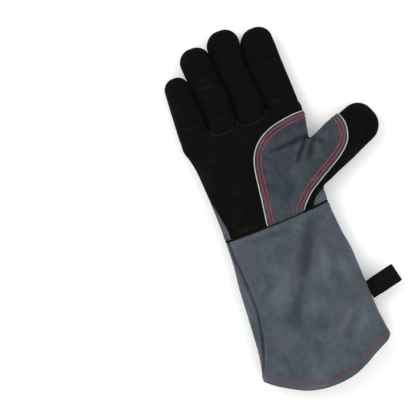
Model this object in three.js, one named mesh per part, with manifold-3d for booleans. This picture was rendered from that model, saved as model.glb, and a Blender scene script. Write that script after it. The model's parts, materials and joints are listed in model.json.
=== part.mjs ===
// A heat resistant gauntlet glove for the right hand, lying on its back with the palm up.
// Millimetres. +Y runs from the hem to the fingertips, +X to the thumb side, +Z out of the palm.
// The origin is under the middle of the hand, on the surface that the glove lies on.
//
// Every sewn tube of the glove (cuff, hand, fingers, thumb) is a loft. The leather, the lining and the
// patch are layers of those lofts, cut into panels at the seams. Where the glove bends, the leather is
// cut into a rigid part on each side of a notch and a crease piece that fills the notch.
import * as THREE from "three";
import { mergeVertices } from "three/addons/utils/BufferGeometryUtils.js";
import Module from "manifold-3d";

const wasm = await Module();
wasm.setup();

// ---- Driving dimensions --------------------------------------------------------------------------
const LEATHER = 1.6; // thickness of the split cowhide
const LINING = 2.2; // thickness of the cotton fleece
const LAYER_GAP = 0.4; // between the leather and what lies on or under it
const SEAM_GAP = 0.3; // between two panels that are sewn edge to edge
const CREASE_GAP = 0.35; // between a crease and the panels that it joins
const HINGE_HALF = 1.2; // half of a notch at the height of its fold line
const THREAD = 0.9; // sewing thread, as a raised line

const MIDDLE_X = 2; // the hand's middle, from the origin
const HAND_LENGTH = 120; // wrist seam to the knuckle line
const WRIST_Y = -58; // wrist seam, from the origin
const WRIST_WIDTH = 122;
const WRIST_HEIGHT = 34;
const PALM_HEIGHT = 36;
const KNUCKLE_RISE = 2; // the hand's height at the knuckles, over a finger's
const SIDE_SEAM_Z = 15; // height of the side seams
const WELT = 3; // width of the band on the wrist seam
const WELT_THICK = 1.2;

const CUFF_LENGTH = 188; // wrist seam to the lowest point of the hem
const HEM_WIDTH = 149;
const HEM_HEIGHT = 44;
const HEM_CURVE = 26; // how far the middle of the hem drops below its corners
const WRIST_FOLD = 18; // the wrist folds this far below its seam
const HEM_STITCH = 8; // the hem's thread, from its edge
const LINING_SHORT = 3; // the lining ends this far inside the hem

const FINGER_GAP = 1; // between neighbouring fingers
const FINGER_HEIGHT = 26;
const FINGER_FOLD_DEPTH = 19; // a finger's fold lines, below its palm side
const FINGER_MID = 0.48; // the second fold, as a share of the finger's length
const FOURCHETTE = 6; // width of the strip in a finger's side wall

const THUMB_OUT = 4; // the thumb's fold line, outside the wrist's edge
const THUMB_Y = -10.5; // middle of the thumb's fold line
const THUMB_ANGLE = 20; // degrees from +X towards the fingertips
const THUMB_LENGTH = 83;
const THUMB_ROOT_WIDTH = 54;
const THUMB_TIP_WIDTH = 46;
const THUMB_HEIGHT = 28;
const THUMB_ROOT_HEIGHT = 31;
const THUMB_FOLD_DEPTH = 20;
const THUMB_MID = 57; // second fold, from the first
const THUMB_STUB = 34; // how far the thumb's tube reaches into the hand

const PATCH_LEFT = -12; // the patch's edge on the palm at the wrist, from the hand's middle
const PATCH_RIGHT = 30; // its other edge at the wrist
const PATCH_TOP = 16; // its upper edge, below the knuckle line
const PATCH_THUMB = 42; // how far it reaches along the thumb, from the fold line
const PIPING_WIDTH = 1.8;
const PIPING_RISE = 0.5; // the piping stands this far above the patch
const STITCH_INSET = 4; // thread, from the patch's edge

const LOOP_FROM_WRIST = 104.5; // middle of the hanging loop, from the wrist seam
const LOOP_ANGLE = 13;
const LOOP_LENGTH = 34;
const LOOP_WIDTH = 21;
const LOOP_STRAP = 1.8;
const LOOP_OPENING = 6.6;
const LOOP_TAPER = 8; // the two plies spread apart over this length
const LOOP_GAP = 2; // from the cuff's edge

// Degrees about each fold line, with the palm side closing above nought.
const KNUCKLE_RANGE = [0, 60];
const FINGER_MID_RANGE = [0, 70];
const THUMB_RANGE = [0, 45];
const THUMB_MID_RANGE = [0, 45];
const WRIST_RANGE = [-25, 40];

// From the little finger's side. lean is how far the tip is from the root, across the hand, and
// sides are the side walls that face another finger.
const FINGERS = [
  { name: "little", rootWidth: 36, tipWidth: 27.5, lean: -2, length: 67, sides: [1] },
  { name: "ring", rootWidth: 32.5, tipWidth: 32.5, lean: -4.8, length: 90.5, sides: [-1, 1] },
  { name: "middle", rootWidth: 34.5, tipWidth: 34.5, lean: -3.2, length: 98, sides: [-1, 1] },
  { name: "index", rootWidth: 37, tipWidth: 34.5, lean: -3, length: 88.5, sides: [-1] },
];

const material = (color, roughness) => new THREE.MeshStandardMaterial({ color, roughness, metalness: 0 });
const BLACK = material(0x151513, 0.95);
const GREY = material(0x55606a, 0.95);
const COTTON = material(0xb9b4a6, 1);
const PIPING = material(0xc9c9c2, 0.8);
const RED = material(0xa8404e, 0.8);
const WEBBING = material(0x121212, 0.9);

// ---- Solids --------------------------------------------------------------------------------------
const FAR = 400; // past every part of the glove
const { lerp, clamp, degToRad } = THREE.MathUtils;

/** A closed three.js geometry as a solid that can be joined and cut. */
function solidOf(geometry) {
  const bare = geometry.index ? geometry.toNonIndexed() : geometry.clone();
  bare.deleteAttribute("normal");
  bare.deleteAttribute("uv");
  const merged = mergeVertices(bare, 1e-4);
  const triVerts = [];
  for (let i = 0; i < merged.index.count; i += 3) {
    const [a, b, c] = merged.index.array.slice(i, i + 3);
    if (a !== b && b !== c && c !== a) triVerts.push(a, b, c);
  }
  const vertProperties = new Float32Array(merged.attributes.position.array);
  return new wasm.Manifold(new wasm.Mesh({ numProp: 3, vertProperties, triVerts: new Uint32Array(triVerts) }));
}

/** A solid's surface as a three.js geometry. */
function geometryOf(solid) {
  const { vertProperties, triVerts } = solid.getMesh();
  const made = new THREE.BufferGeometry();
  made.setAttribute("position", new THREE.BufferAttribute(new Float32Array(vertProperties), 3));
  made.setIndex(new THREE.BufferAttribute(new Uint32Array(triVerts), 1));
  made.computeVertexNormals();
  return made;
}

/** A solid moved by a matrix. */
const moved = (solid, matrix) => solidOf(geometryOf(solid).applyMatrix4(matrix));

/** A solid through rings of points, all of the same number of points, closed by a fan at each end. */
function loft(rings) {
  const count = rings[0].length;
  const points = rings.flat();
  const faces = [];
  for (let r = 0; r + 1 < rings.length; r++) {
    for (let i = 0; i < count; i++) {
      const [a, b] = [r * count + i, r * count + ((i + 1) % count)];
      faces.push(a, b + count, b, a, a + count, b + count);
    }
  }
  for (const last of [false, true]) {
    const first = last ? (rings.length - 1) * count : 0;
    const middle = new THREE.Vector3();
    points.slice(first, first + count).forEach((p) => middle.addScaledVector(p, 1 / count));
    const hub = points.push(middle) - 1;
    for (let i = 0; i < count; i++) {
      const [a, b] = [first + i, first + ((i + 1) % count)];
      faces.push(hub, ...(last ? [b, a] : [a, b]));
    }
  }
  const made = new THREE.BufferGeometry();
  made.setAttribute("position", new THREE.Float32BufferAttribute(points.flatMap((p) => p.toArray()), 3));
  made.setIndex(faces);
  return solidOf(made);
}

/** A block between two corners. */
function block(low, high) {
  const size = high.map((v, i) => v - low[i]);
  const box = new THREE.BoxGeometry(...size);
  return solidOf(box.translate(...low.map((v, i) => v + size[i] / 2)));
}

/** A shape drawn in Y and Z, extruded right across the glove along X. */
function acrossX(points) {
  const shape = new THREE.Shape(points.map(([y, z]) => new THREE.Vector2(y, z)));
  const made = new THREE.ExtrudeGeometry(shape, { depth: 2 * FAR, bevelEnabled: false });
  const turn = new THREE.Matrix4().makeBasis(
    new THREE.Vector3(0, 1, 0), new THREE.Vector3(0, 0, 1), new THREE.Vector3(1, 0, 0));
  return solidOf(made.translate(0, 0, -FAR).applyMatrix4(turn));
}

/** A shape drawn in X and Y, extruded right up through the glove. */
function upright(shape) {
  const made = new THREE.ExtrudeGeometry(shape, { depth: 2 * FAR, bevelEnabled: false });
  return solidOf(made.translate(0, 0, -FAR));
}

/** What is above and what is below a seam at height z. */
const above = (z) => block([-FAR, -FAR, z + SEAM_GAP / 2], [FAR, FAR, FAR]);
const below = (z) => block([-FAR, -FAR, -FAR], [FAR, FAR, z - SEAM_GAP / 2]);

// ---- Tubes: an inset makes a tube smaller all round, and a negative one makes it larger -----------
/** A rounded section: flat underneath, fuller above. Its corners sharpen as power grows. */
function section({ x, y, width, height, inset, round = 1, power, count }) {
  const middle = height * 0.45;
  const ring = [];
  for (let i = 0; i < count; i++) {
    const angle = ((i + 0.5) / count) * 2 * Math.PI;
    const out = (v) => Math.sign(v) * Math.abs(v) ** (2 / power) * round;
    const reach = angle < Math.PI ? height - middle - inset : middle * 1.12 - inset;
    const z = middle + reach * out(Math.sin(angle));
    ring.push(new THREE.Vector3(x + (width / 2 - inset) * out(Math.cos(angle)), y, Math.max(z, inset)));
  }
  return ring;
}

/** A wide tube through stations of [y, width, height], about the hand's middle. */
function wideTube(stations, inset) {
  return loft(stations.map(([y, width, height]) =>
    section({ x: MIDDLE_X, y, width, height, inset, power: 3, count: 24 })));
}

/** A finger's or thumb's tube along +Y with a round end. It starts at start and leans across. */
function digit({ start, length, lean, rootWidth, tipWidth, height, rootHeight }, inset) {
  const roundFrom = length - tipWidth * 0.55;
  const ringAt = (y, round = 1) => {
    const t = clamp(y / roundFrom, 0, 1);
    return section({
      x: lean * t, y, width: lerp(rootWidth, tipWidth, t), height: lerp(rootHeight, height, clamp(2 * t, 0, 1)),
      inset, round, power: 2.4, count: 16,
    });
  };
  const rings = [start, length * 0.24, roundFrom].map((y) => ringAt(y));
  for (const t of [0.45, 0.75, 0.93, 1]) {
    rings.push(ringAt(lerp(roundFrom, length - inset, t), Math.max((1 - t ** 2.3) ** (1 / 2.3), 0.2)));
  }
  return loft(rings);
}

/** A fold at y: what is before its notch, the crease inside the notch, what is after it, and past, the
 * crease and after as one. */
function fold({ y, z, range }) {
  const face = (side, gap) => {
    const at = (height, angle) =>
      [y + side * (HINGE_HALF + gap + Math.abs(height - z) * Math.tan(degToRad(Math.abs(angle) / 2))), height];
    return [at(-FAR / 4, range[0]), at(z, 0), at(FAR / 4, range[1])];
  };
  return {
    before: acrossX([[-FAR, -FAR / 4], ...face(-1, 0), [-FAR, FAR / 4]]),
    inside: acrossX([...face(-1, -CREASE_GAP).reverse(), ...face(1, -CREASE_GAP)]),
    after: acrossX([...face(1, 0), [FAR, FAR / 4], [FAR, -FAR / 4]]),
    past: acrossX([...face(-1, -CREASE_GAP), [FAR, FAR / 4], [FAR, -FAR / 4]]),
  };
}

const glove = new THREE.Group();

/** Adds a solid to a group as a named mesh. */
function add(name, solid, finish, group = glove) {
  const mesh = new THREE.Mesh(geometryOf(solid), finish);
  mesh.name = name;
  group.add(mesh);
}

// The layers of the glove, as insets from the leather's outer face.
const LEATHER_IN = LEATHER;
const LINING_OUT = LEATHER + LAYER_GAP;
const LINING_IN = LINING_OUT + LINING;
const PATCH_IN = -LAYER_GAP;
const PATCH_OUT = PATCH_IN - LEATHER;

// ---- The hand and the thumb ----------------------------------------------------------------------
const KNUCKLE_Y = WRIST_Y + HAND_LENGTH;
const KNUCKLE_WIDTH = FINGERS.reduce((sum, finger) => sum + finger.rootWidth, 0);
const KNUCKLE_HEIGHT = FINGER_HEIGHT + KNUCKLE_RISE;
const FINGER_FOLD_Z = FINGER_HEIGHT - FINGER_FOLD_DEPTH;
const THUMB_FOLD_Z = THUMB_HEIGHT - THUMB_FOLD_DEPTH;
const ROOM = 20; // a hollow runs past its mouth by this much

const thumbPlace = new THREE.Matrix4()
  .makeRotationZ(degToRad(THUMB_ANGLE - 90))
  .setPosition(MIDDLE_X + WRIST_WIDTH / 2 + THUMB_OUT, THUMB_Y, 0);
const toHand = (solid) => moved(solid, thumbPlace);
const toThumb = (solid) => moved(solid, thumbPlace.clone().invert());

/** The hand's tube, past both of its ends by over. */
function palmTube(inset, over) {
  const at = (share, height) =>
    [WRIST_Y + HAND_LENGTH * share, lerp(WRIST_WIDTH, KNUCKLE_WIDTH, share ** 1.6), height];
  return wideTube([
    [WRIST_Y - over, WRIST_WIDTH, WRIST_HEIGHT], at(0.01, WRIST_HEIGHT), at(0.45, PALM_HEIGHT),
    at(0.75, PALM_HEIGHT - 3), at(0.99, KNUCKLE_HEIGHT), [KNUCKLE_Y + over, KNUCKLE_WIDTH, KNUCKLE_HEIGHT],
  ], inset);
}

/** The hand's tube joined to the thumb's. */
function handForm(inset, over = ROOM) {
  const thumb = digit({
    start: -THUMB_STUB, length: THUMB_LENGTH, lean: 0, rootWidth: THUMB_ROOT_WIDTH,
    tipWidth: THUMB_TIP_WIDTH, height: THUMB_HEIGHT, rootHeight: THUMB_ROOT_HEIGHT,
  }, inset);
  return palmTube(inset, over).add(toHand(thumb));
}

const knuckleFold = fold({ y: KNUCKLE_Y, z: FINGER_FOLD_Z, range: KNUCKLE_RANGE });
const thumbFold = fold({ y: 0, z: THUMB_FOLD_Z, range: THUMB_RANGE });
const thumbMidFold = fold({ y: THUMB_MID, z: THUMB_FOLD_Z, range: THUMB_MID_RANGE });

// The thumb and its root crease lie within this strip, past the hand's side of the fold.
const thumbHalf = THUMB_ROOT_WIDTH / 2 + PIPING_WIDTH;
const thumbStrip = block([-thumbHalf, -THUMB_STUB, -FAR], [thumbHalf, FAR, FAR]);
const thumbSide = toHand(thumbStrip.subtract(thumbFold.before));
const inHand = block([-FAR, WRIST_Y, -FAR], [FAR, FAR, FAR]);

/** The material of the hand and thumb between two insets, in the hand's frame. */
const handShell = (outside, inside) => handForm(outside).subtract(handForm(inside, 2 * ROOM));
const onHand = (solid) => solid.subtract(thumbSide).intersect(knuckleFold.before).intersect(inHand);
const thumbShell = (outside, inside) => toThumb(handShell(outside, inside)).intersect(thumbStrip);
const onThumb = (solid) => solid.intersect(thumbFold.after).intersect(thumbMidFold.before);

const thumbGroup = new THREE.Group();
thumbGroup.applyMatrix4(thumbPlace);
glove.add(thumbGroup);

/** The hand's own panels and lining, and the welt on the wrist seam. */
function addHand() {
  const leather = onHand(handShell(0, LEATHER_IN));
  add("palm_panel", leather.intersect(above(SIDE_SEAM_Z)), BLACK);
  add("back_panel", leather.intersect(below(SIDE_SEAM_Z)), GREY);
  add("hand_lining", onHand(handShell(LINING_OUT, LINING_IN)), COTTON);
  const band = block([-FAR, WRIST_Y - WELT / 2, LAYER_GAP], [FAR, WRIST_Y + WELT / 2, FAR]);
  const welt = palmTube(-LAYER_GAP - WELT_THICK, ROOM).subtract(palmTube(-LAYER_GAP, 2 * ROOM));
  add("wrist_welt", welt.intersect(band), BLACK);
}

/** The thumb's panels, creases and lining. */
function addThumb() {
  const leather = thumbShell(0, LEATHER_IN);
  const base = onThumb(leather);
  const end = leather.intersect(thumbMidFold.after);
  add("thumb_front", base.intersect(above(SIDE_SEAM_Z)), BLACK, thumbGroup);
  add("thumb_back", base.intersect(below(SIDE_SEAM_Z)), BLACK, thumbGroup);
  add("thumb_tip_front", end.intersect(above(SIDE_SEAM_Z)), BLACK, thumbGroup);
  add("thumb_tip_back", end.intersect(below(SIDE_SEAM_Z)), BLACK, thumbGroup);
  add("thumb_root_crease", leather.intersect(thumbFold.inside), BLACK, thumbGroup);
  add("thumb_mid_crease", leather.intersect(thumbMidFold.inside), BLACK, thumbGroup);
  add("thumb_lining", thumbShell(LINING_OUT, LINING_IN).intersect(thumbFold.past), COTTON, thumbGroup);
}

// ---- The patch over the ball of the thumb ----------------------------------------------------------
/** A point of the hand: across from its middle, and up from the wrist seam. */
const handPoint = (across, up) => new THREE.Vector2(MIDDLE_X + across, WRIST_Y + up);

/** A point of the thumb: along it from the fold line, and from its middle towards the fingers. */
function thumbPoint(along, side) {
  const placed = new THREE.Vector3(-side, along, 0).applyMatrix4(thumbPlace);
  return new THREE.Vector2(placed.x, placed.y);
}

const overWelt = block([-FAR, WRIST_Y + WELT / 2 + SEAM_GAP, -FAR], [FAR, FAR, FAR]);
const patchHigh = HAND_LENGTH - PATCH_TOP;

/** The patch's edge across the palm, from the wrist seam up to the index finger. */
const palmEdge = new THREE.SplineCurve([
  handPoint(PATCH_LEFT, 0),
  handPoint(PATCH_LEFT + 6, HAND_LENGTH * 0.34),
  handPoint(PATCH_LEFT + 13.5, HAND_LENGTH * 0.63),
  handPoint(PATCH_LEFT + 34, patchHigh - 7),
  handPoint(PATCH_LEFT + 70, patchHigh),
  handPoint(PATCH_LEFT + 93, patchHigh + 1),
]);

/** Its edge along the thumb, from the wrist seam out and round to the thumb's upper side. */
const thumbEdge = new THREE.SplineCurve([
  handPoint(PATCH_RIGHT, 0),
  handPoint(PATCH_RIGHT + 20, HAND_LENGTH * 0.2),
  thumbPoint(PATCH_THUMB * 0.3, -THUMB_ROOT_WIDTH * 0.2),
  thumbPoint(PATCH_THUMB * 0.75, -THUMB_TIP_WIDTH * 0.16),
  thumbPoint(PATCH_THUMB, THUMB_TIP_WIDTH * 0.1),
  thumbPoint(PATCH_THUMB * 1.05, THUMB_TIP_WIDTH * 0.45),
]);

/** A strip beside a curve, from one distance to another on its left. */
function strip(curve, from, to, steps = 12) {
  const side = (distance) => Array.from({ length: steps + 1 }, (_, i) => {
    const [p, d] = [curve.getPoint(i / steps), curve.getTangent(i / steps)];
    return new THREE.Vector2(p.x - d.y * distance, p.y + d.x * distance);
  });
  return upright(new THREE.Shape([...side(from), ...side(to).reverse()]));
}

/** The patch with the piping and thread along its two edges, on the hand and on the thumb. */
function addPatch() {
  const outline = upright(new THREE.Shape([...palmEdge.getPoints(12), ...thumbEdge.getPoints(12).reverse()]));
  const raised = (outside, inside) => handShell(outside, inside).intersect(above(SIDE_SEAM_Z)).intersect(overWelt);
  const patch = raised(PATCH_OUT, PATCH_IN).intersect(outline);
  const pipings = raised(PATCH_OUT - PIPING_RISE, PATCH_IN);
  const threads = raised(PATCH_OUT - LAYER_GAP - THREAD, PATCH_OUT - LAYER_GAP);
  const palmPiping = pipings.intersect(strip(palmEdge, SEAM_GAP, SEAM_GAP + PIPING_WIDTH));
  const thumbPiping = pipings.intersect(strip(thumbEdge, -SEAM_GAP - PIPING_WIDTH, -SEAM_GAP));
  const palmThread = threads.intersect(strip(palmEdge, -STITCH_INSET, THREAD - STITCH_INSET));
  const thumbThread = threads.intersect(strip(thumbEdge, STITCH_INSET - THREAD, STITCH_INSET));
  const ofThumb = (solid) => onThumb(toThumb(solid).intersect(thumbStrip));

  add("palm_patch", onHand(patch), GREY);
  add("palm_piping", onHand(palmPiping), PIPING);
  add("palm_thread", onHand(palmThread), RED);
  add("ball_piping", onHand(thumbPiping), PIPING);
  add("ball_thread", onHand(thumbThread), RED);
  add("thumb_patch", ofThumb(patch), GREY, thumbGroup);
  add("thumb_piping", ofThumb(thumbPiping), PIPING, thumbGroup);
  add("thumb_thread", ofThumb(thumbThread), RED, thumbGroup);
}

// ---- The fingers ---------------------------------------------------------------------------------
/** One finger in its own group, whose origin is on the knuckle line. */
function addFinger(finger, rootX) {
  const group = new THREE.Group();
  group.position.set(rootX, KNUCKLE_Y, 0);
  glove.add(group);
  const tube = (inset) => digit({
    ...finger, start: -FINGER_HEIGHT, rootWidth: finger.rootWidth - FINGER_GAP,
    tipWidth: finger.tipWidth - FINGER_GAP, height: FINGER_HEIGHT, rootHeight: FINGER_HEIGHT,
  }, inset);
  const seamZ = FINGER_HEIGHT / 2;
  const root = fold({ y: 0, z: FINGER_FOLD_Z, range: KNUCKLE_RANGE });
  const mid = fold({ y: finger.length * FINGER_MID, z: FINGER_FOLD_Z, range: FINGER_MID_RANGE });
  const leather = tube(0).subtract(tube(LEATHER_IN));
  const base = leather.intersect(root.after).intersect(mid.before);
  const end = leather.intersect(mid.after);

  let panels = base;
  for (const side of finger.sides) {
    const cut = (gap) => {
      const [near, far] = [finger.rootWidth * 0.2 * side, finger.rootWidth * side];
      const half = FOURCHETTE / 2 + gap;
      return block([Math.min(near, far), -FAR, seamZ - half], [Math.max(near, far), FAR, seamZ + half]);
    };
    const facing = side < 0 ? "little_side" : "thumb_side";
    add(`${finger.name}_fourchette_${facing}`, base.intersect(cut(0)), BLACK, group);
    panels = panels.subtract(cut(SEAM_GAP));
  }
  add(`${finger.name}_front`, panels.intersect(above(seamZ)), BLACK, group);
  add(`${finger.name}_back`, panels.intersect(below(seamZ)), BLACK, group);
  add(`${finger.name}_tip_front`, end.intersect(above(seamZ)), BLACK, group);
  add(`${finger.name}_tip_back`, end.intersect(below(seamZ)), BLACK, group);
  add(`${finger.name}_knuckle_crease`, leather.intersect(root.inside), BLACK, group);
  add(`${finger.name}_mid_crease`, leather.intersect(mid.inside), BLACK, group);
  const lining = tube(LINING_OUT).subtract(tube(LINING_IN));
  add(`${finger.name}_lining`, lining.intersect(root.past), COTTON, group);
}

/** The four fingers, side by side across the knuckle line. */
function addFingers() {
  let edge = MIDDLE_X - KNUCKLE_WIDTH / 2;
  for (const finger of FINGERS) {
    addFinger(finger, edge + finger.rootWidth / 2);
    edge += finger.rootWidth;
  }
}

// ---- The cuff ------------------------------------------------------------------------------------
const HEM_Y = WRIST_Y - CUFF_LENGTH;
const CUFF_SEAM_Z = WRIST_HEIGHT / 2;
const cuffWidth = (fromWrist) => lerp(WRIST_WIDTH, HEM_WIDTH, (fromWrist / CUFF_LENGTH) ** 0.8);

/** The cuff's tube, past both of its ends by over. */
function cuffTube(inset, over = ROOM) {
  const at = (share) =>
    [HEM_Y + CUFF_LENGTH * share, cuffWidth(CUFF_LENGTH * (1 - share)), lerp(HEM_HEIGHT, WRIST_HEIGHT, share)];
  return wideTube([
    [HEM_Y - over, HEM_WIDTH, HEM_HEIGHT], at(0.01), at(0.35), at(0.7), at(0.99),
    [WRIST_Y + over, WRIST_WIDTH, WRIST_HEIGHT],
  ], inset);
}

/** What lies between the wrist seam and a line that runs across the cuff, above the hem by raise. */
function fromHem(raise) {
  const steps = 10;
  const line = Array.from({ length: steps + 1 }, (_, i) => {
    const share = (i / steps) * 2 - 1;
    return new THREE.Vector2(MIDDLE_X + share * HEM_WIDTH / 2, HEM_Y + raise + HEM_CURVE * share * share);
  });
  const [left, right] = [line[0].clone(), line.at(-1).clone()];
  left.x = -FAR;
  right.x = FAR;
  const top = WRIST_Y - CREASE_GAP;
  return upright(new THREE.Shape(
    [left, ...line, right, new THREE.Vector2(FAR, top), new THREE.Vector2(-FAR, top)]));
}

/** The cuff's two panels, its soft upper band that folds, its lining and the hem's thread. */
function addCuff() {
  const wrist = fold({ y: WRIST_Y - WRIST_FOLD, z: CUFF_SEAM_Z, range: WRIST_RANGE });
  const shell = cuffTube(0).subtract(cuffTube(LEATHER_IN, 2 * ROOM)).intersect(fromHem(0));
  const panels = shell.intersect(wrist.before);
  add("cuff_front_panel", panels.intersect(above(CUFF_SEAM_Z)), GREY);
  add("cuff_back_panel", panels.intersect(below(CUFF_SEAM_Z)), GREY);
  add("wrist_crease", shell.intersect(wrist.past), GREY);
  const lining = cuffTube(LINING_OUT).subtract(cuffTube(LINING_IN, 2 * ROOM));
  add("cuff_lining", lining.intersect(fromHem(LINING_SHORT)).intersect(wrist.before), COTTON);
  const threads = cuffTube(-LAYER_GAP - THREAD).subtract(cuffTube(-LAYER_GAP, 2 * ROOM));
  const row = fromHem(HEM_STITCH).subtract(fromHem(HEM_STITCH + THREAD));
  add("hem_thread", threads.intersect(row).intersect(above(LAYER_GAP)), RED);
}

/** The outline of the doubled strap from the side, drawn in by an amount. Its end is round. */
function loopOutline(inset) {
  const half = LOOP_OPENING / 2 + LOOP_STRAP;
  const reach = LOOP_LENGTH - half;
  const root = new THREE.Vector2(inset, inset > 0 ? 0 : LOOP_STRAP);
  const path = new THREE.Path();
  path.moveTo(root.x * 2, -root.y);
  path.lineTo(LOOP_TAPER, inset - half);
  path.lineTo(reach, inset - half);
  path.absarc(reach, 0, half - inset, -Math.PI / 2, Math.PI / 2);
  path.lineTo(LOOP_TAPER, half - inset);
  path.lineTo(root.x * 2, root.y);
  return path.getPoints(6);
}

/** The strap that the glove hangs by: a band doubled back on itself, sewn into the cuff's side. */
function addHangingLoop() {
  const shape = new THREE.Shape(loopOutline(0));
  shape.holes.push(new THREE.Path(loopOutline(LOOP_STRAP)));
  const band = new THREE.ExtrudeGeometry(shape, { depth: LOOP_WIDTH, bevelEnabled: false });
  band.translate(0, 0, -LOOP_WIDTH / 2).rotateX(Math.PI / 2);
  const mesh = new THREE.Mesh(band, WEBBING);
  mesh.name = "hanging_loop";
  const edge = MIDDLE_X + cuffWidth(LOOP_FROM_WRIST) / 2;
  const tuck = Math.sin(degToRad(LOOP_ANGLE)) * LOOP_WIDTH / 2;
  mesh.position.set(edge + LOOP_GAP + tuck, WRIST_Y - LOOP_FROM_WRIST, CUFF_SEAM_Z);
  mesh.rotation.z = degToRad(LOOP_ANGLE);
  glove.add(mesh);
}

addHand();
addThumb();
addPatch();
addFingers();
addCuff();
addHangingLoop();

export default glove;
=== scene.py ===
"""A heat resistant gauntlet glove: napped leather panels, cotton lining, piping, stitching and a strap.

The leather and the lining are drawn as level surfaces of one form, cut into panels along the seams, and
given their thickness. Sizes here are in millimetres, and meshes are made in metres.
"""
from __future__ import annotations

import itertools
import json
import logging
import math
from dataclasses import dataclass, field
from enum import Enum
from typing import Callable, Optional, Sequence

import bpy
import numpy as np
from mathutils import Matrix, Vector
from mathutils.bvhtree import BVHTree


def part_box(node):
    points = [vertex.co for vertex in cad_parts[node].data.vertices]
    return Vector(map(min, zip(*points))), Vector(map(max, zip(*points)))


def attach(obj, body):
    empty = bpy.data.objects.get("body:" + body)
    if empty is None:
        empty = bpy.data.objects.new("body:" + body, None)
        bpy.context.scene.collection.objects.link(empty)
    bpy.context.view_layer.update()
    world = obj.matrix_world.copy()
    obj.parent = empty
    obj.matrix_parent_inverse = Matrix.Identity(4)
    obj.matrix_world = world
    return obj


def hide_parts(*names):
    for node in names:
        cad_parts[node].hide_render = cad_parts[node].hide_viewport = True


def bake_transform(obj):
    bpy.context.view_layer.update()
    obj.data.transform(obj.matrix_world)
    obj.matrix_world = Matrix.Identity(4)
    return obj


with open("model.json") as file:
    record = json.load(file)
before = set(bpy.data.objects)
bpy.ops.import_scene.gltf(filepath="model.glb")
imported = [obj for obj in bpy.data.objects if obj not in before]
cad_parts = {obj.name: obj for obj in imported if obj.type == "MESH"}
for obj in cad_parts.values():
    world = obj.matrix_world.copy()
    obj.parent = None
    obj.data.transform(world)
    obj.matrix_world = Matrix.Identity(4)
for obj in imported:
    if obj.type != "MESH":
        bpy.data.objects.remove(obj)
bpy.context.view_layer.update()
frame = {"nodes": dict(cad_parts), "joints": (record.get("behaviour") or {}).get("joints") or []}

log = logging.getLogger("glove")
MM = 0.001
Array = np.ndarray
Scalar = Callable[[Array], Array]
Table = tuple[tuple[float, float], ...]


# ---- Measures of the frame -------------------------------------------------------------------------
def node_box(node: str) -> tuple[Array, Array]:
    """The lowest and highest corners of a CAD node, in millimetres.

    Args:
        node: the node's name.

    Returns:
        Its two corners.
    """
    low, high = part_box(node)
    return np.array(low, float) / MM, np.array(high, float) / MM


def joint_place(name: str) -> Array:
    """Where a hinge's axis passes, in millimetres.

    Args:
        name: the joint's name.

    Returns:
        A point on its axis.
    """
    found = next(j for j in frame["joints"] if j["name"] == name)
    return np.array(found["pos_m"], float) / MM


def smooth(share: Array) -> Array:
    """A smooth step from 0 to 1 as share goes from 0 to 1."""
    share = np.clip(share, 0, 1)
    return share * share * (3 - 2 * share)


def bell(distance: Array, width: float) -> Array:
    """A rounded bump that is 1 at no distance and fades over a width."""
    return np.exp(-((distance / width) ** 2))


def unit(rows: Array) -> Array:
    """Each row as a direction of length 1."""
    return rows / np.maximum(np.linalg.norm(rows, axis=1), 1e-9)[:, None]


def spline(points: Sequence[Sequence[float]], steps: int = 8, closed: bool = False) -> Array:
    """A smooth curve through points.

    Args:
        points: what it passes through.
        steps: pieces between two of them.
        closed: whether it comes back to its start.

    Returns:
        The curve's points, one a row.
    """
    p = np.array(points, float)
    if closed:
        p = np.vstack([p[-1], p, p[:2]])
    else:
        p = np.vstack([2 * p[0] - p[1], p, 2 * p[-1] - p[-2]])
    t = np.arange(steps)[:, None] / steps
    rows = []
    for a, b, c, d in zip(p[:-3], p[1:-2], p[2:-1], p[3:]):
        rows.append(b + 0.5 * t * (c - a + t * (2 * a - 5 * b + 4 * c - d + t * (3 * (b - c) + d - a))))
    return np.vstack(rows + [p[-2][None]])


def through(stations: Sequence[Sequence[float]], at: Array) -> Array:
    """A smooth value through stations.

    Args:
        stations: places in rising order, each with its value.
        at: the places asked for.

    Returns:
        The values there.
    """
    curve = spline(stations)
    return np.interp(at, curve[:, 0], curve[:, 1])


def lattice_noise(points: Array, size: Sequence[float], seed: int) -> Array:
    """Smooth seeded noise between about -1 and 1.

    Args:
        points: where, one a row.
        size: the size of its lumps along X, Y and Z.
        seed: which noise.

    Returns:
        A value for each point.
    """
    table = np.random.default_rng(seed).uniform(-1, 1, (32, 32, 32))
    p = points / np.array(size, float) + 101.7
    cell = np.floor(p).astype(int)
    t = smooth(p - cell)
    total = np.zeros(len(points))
    for corner in itertools.product((0, 1), repeat=3):
        weight = np.prod(np.where(corner, t, 1 - t), axis=1)
        i, j, k = ((cell + corner) % 32).T
        total += weight * table[i, j, k]
    return total


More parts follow.
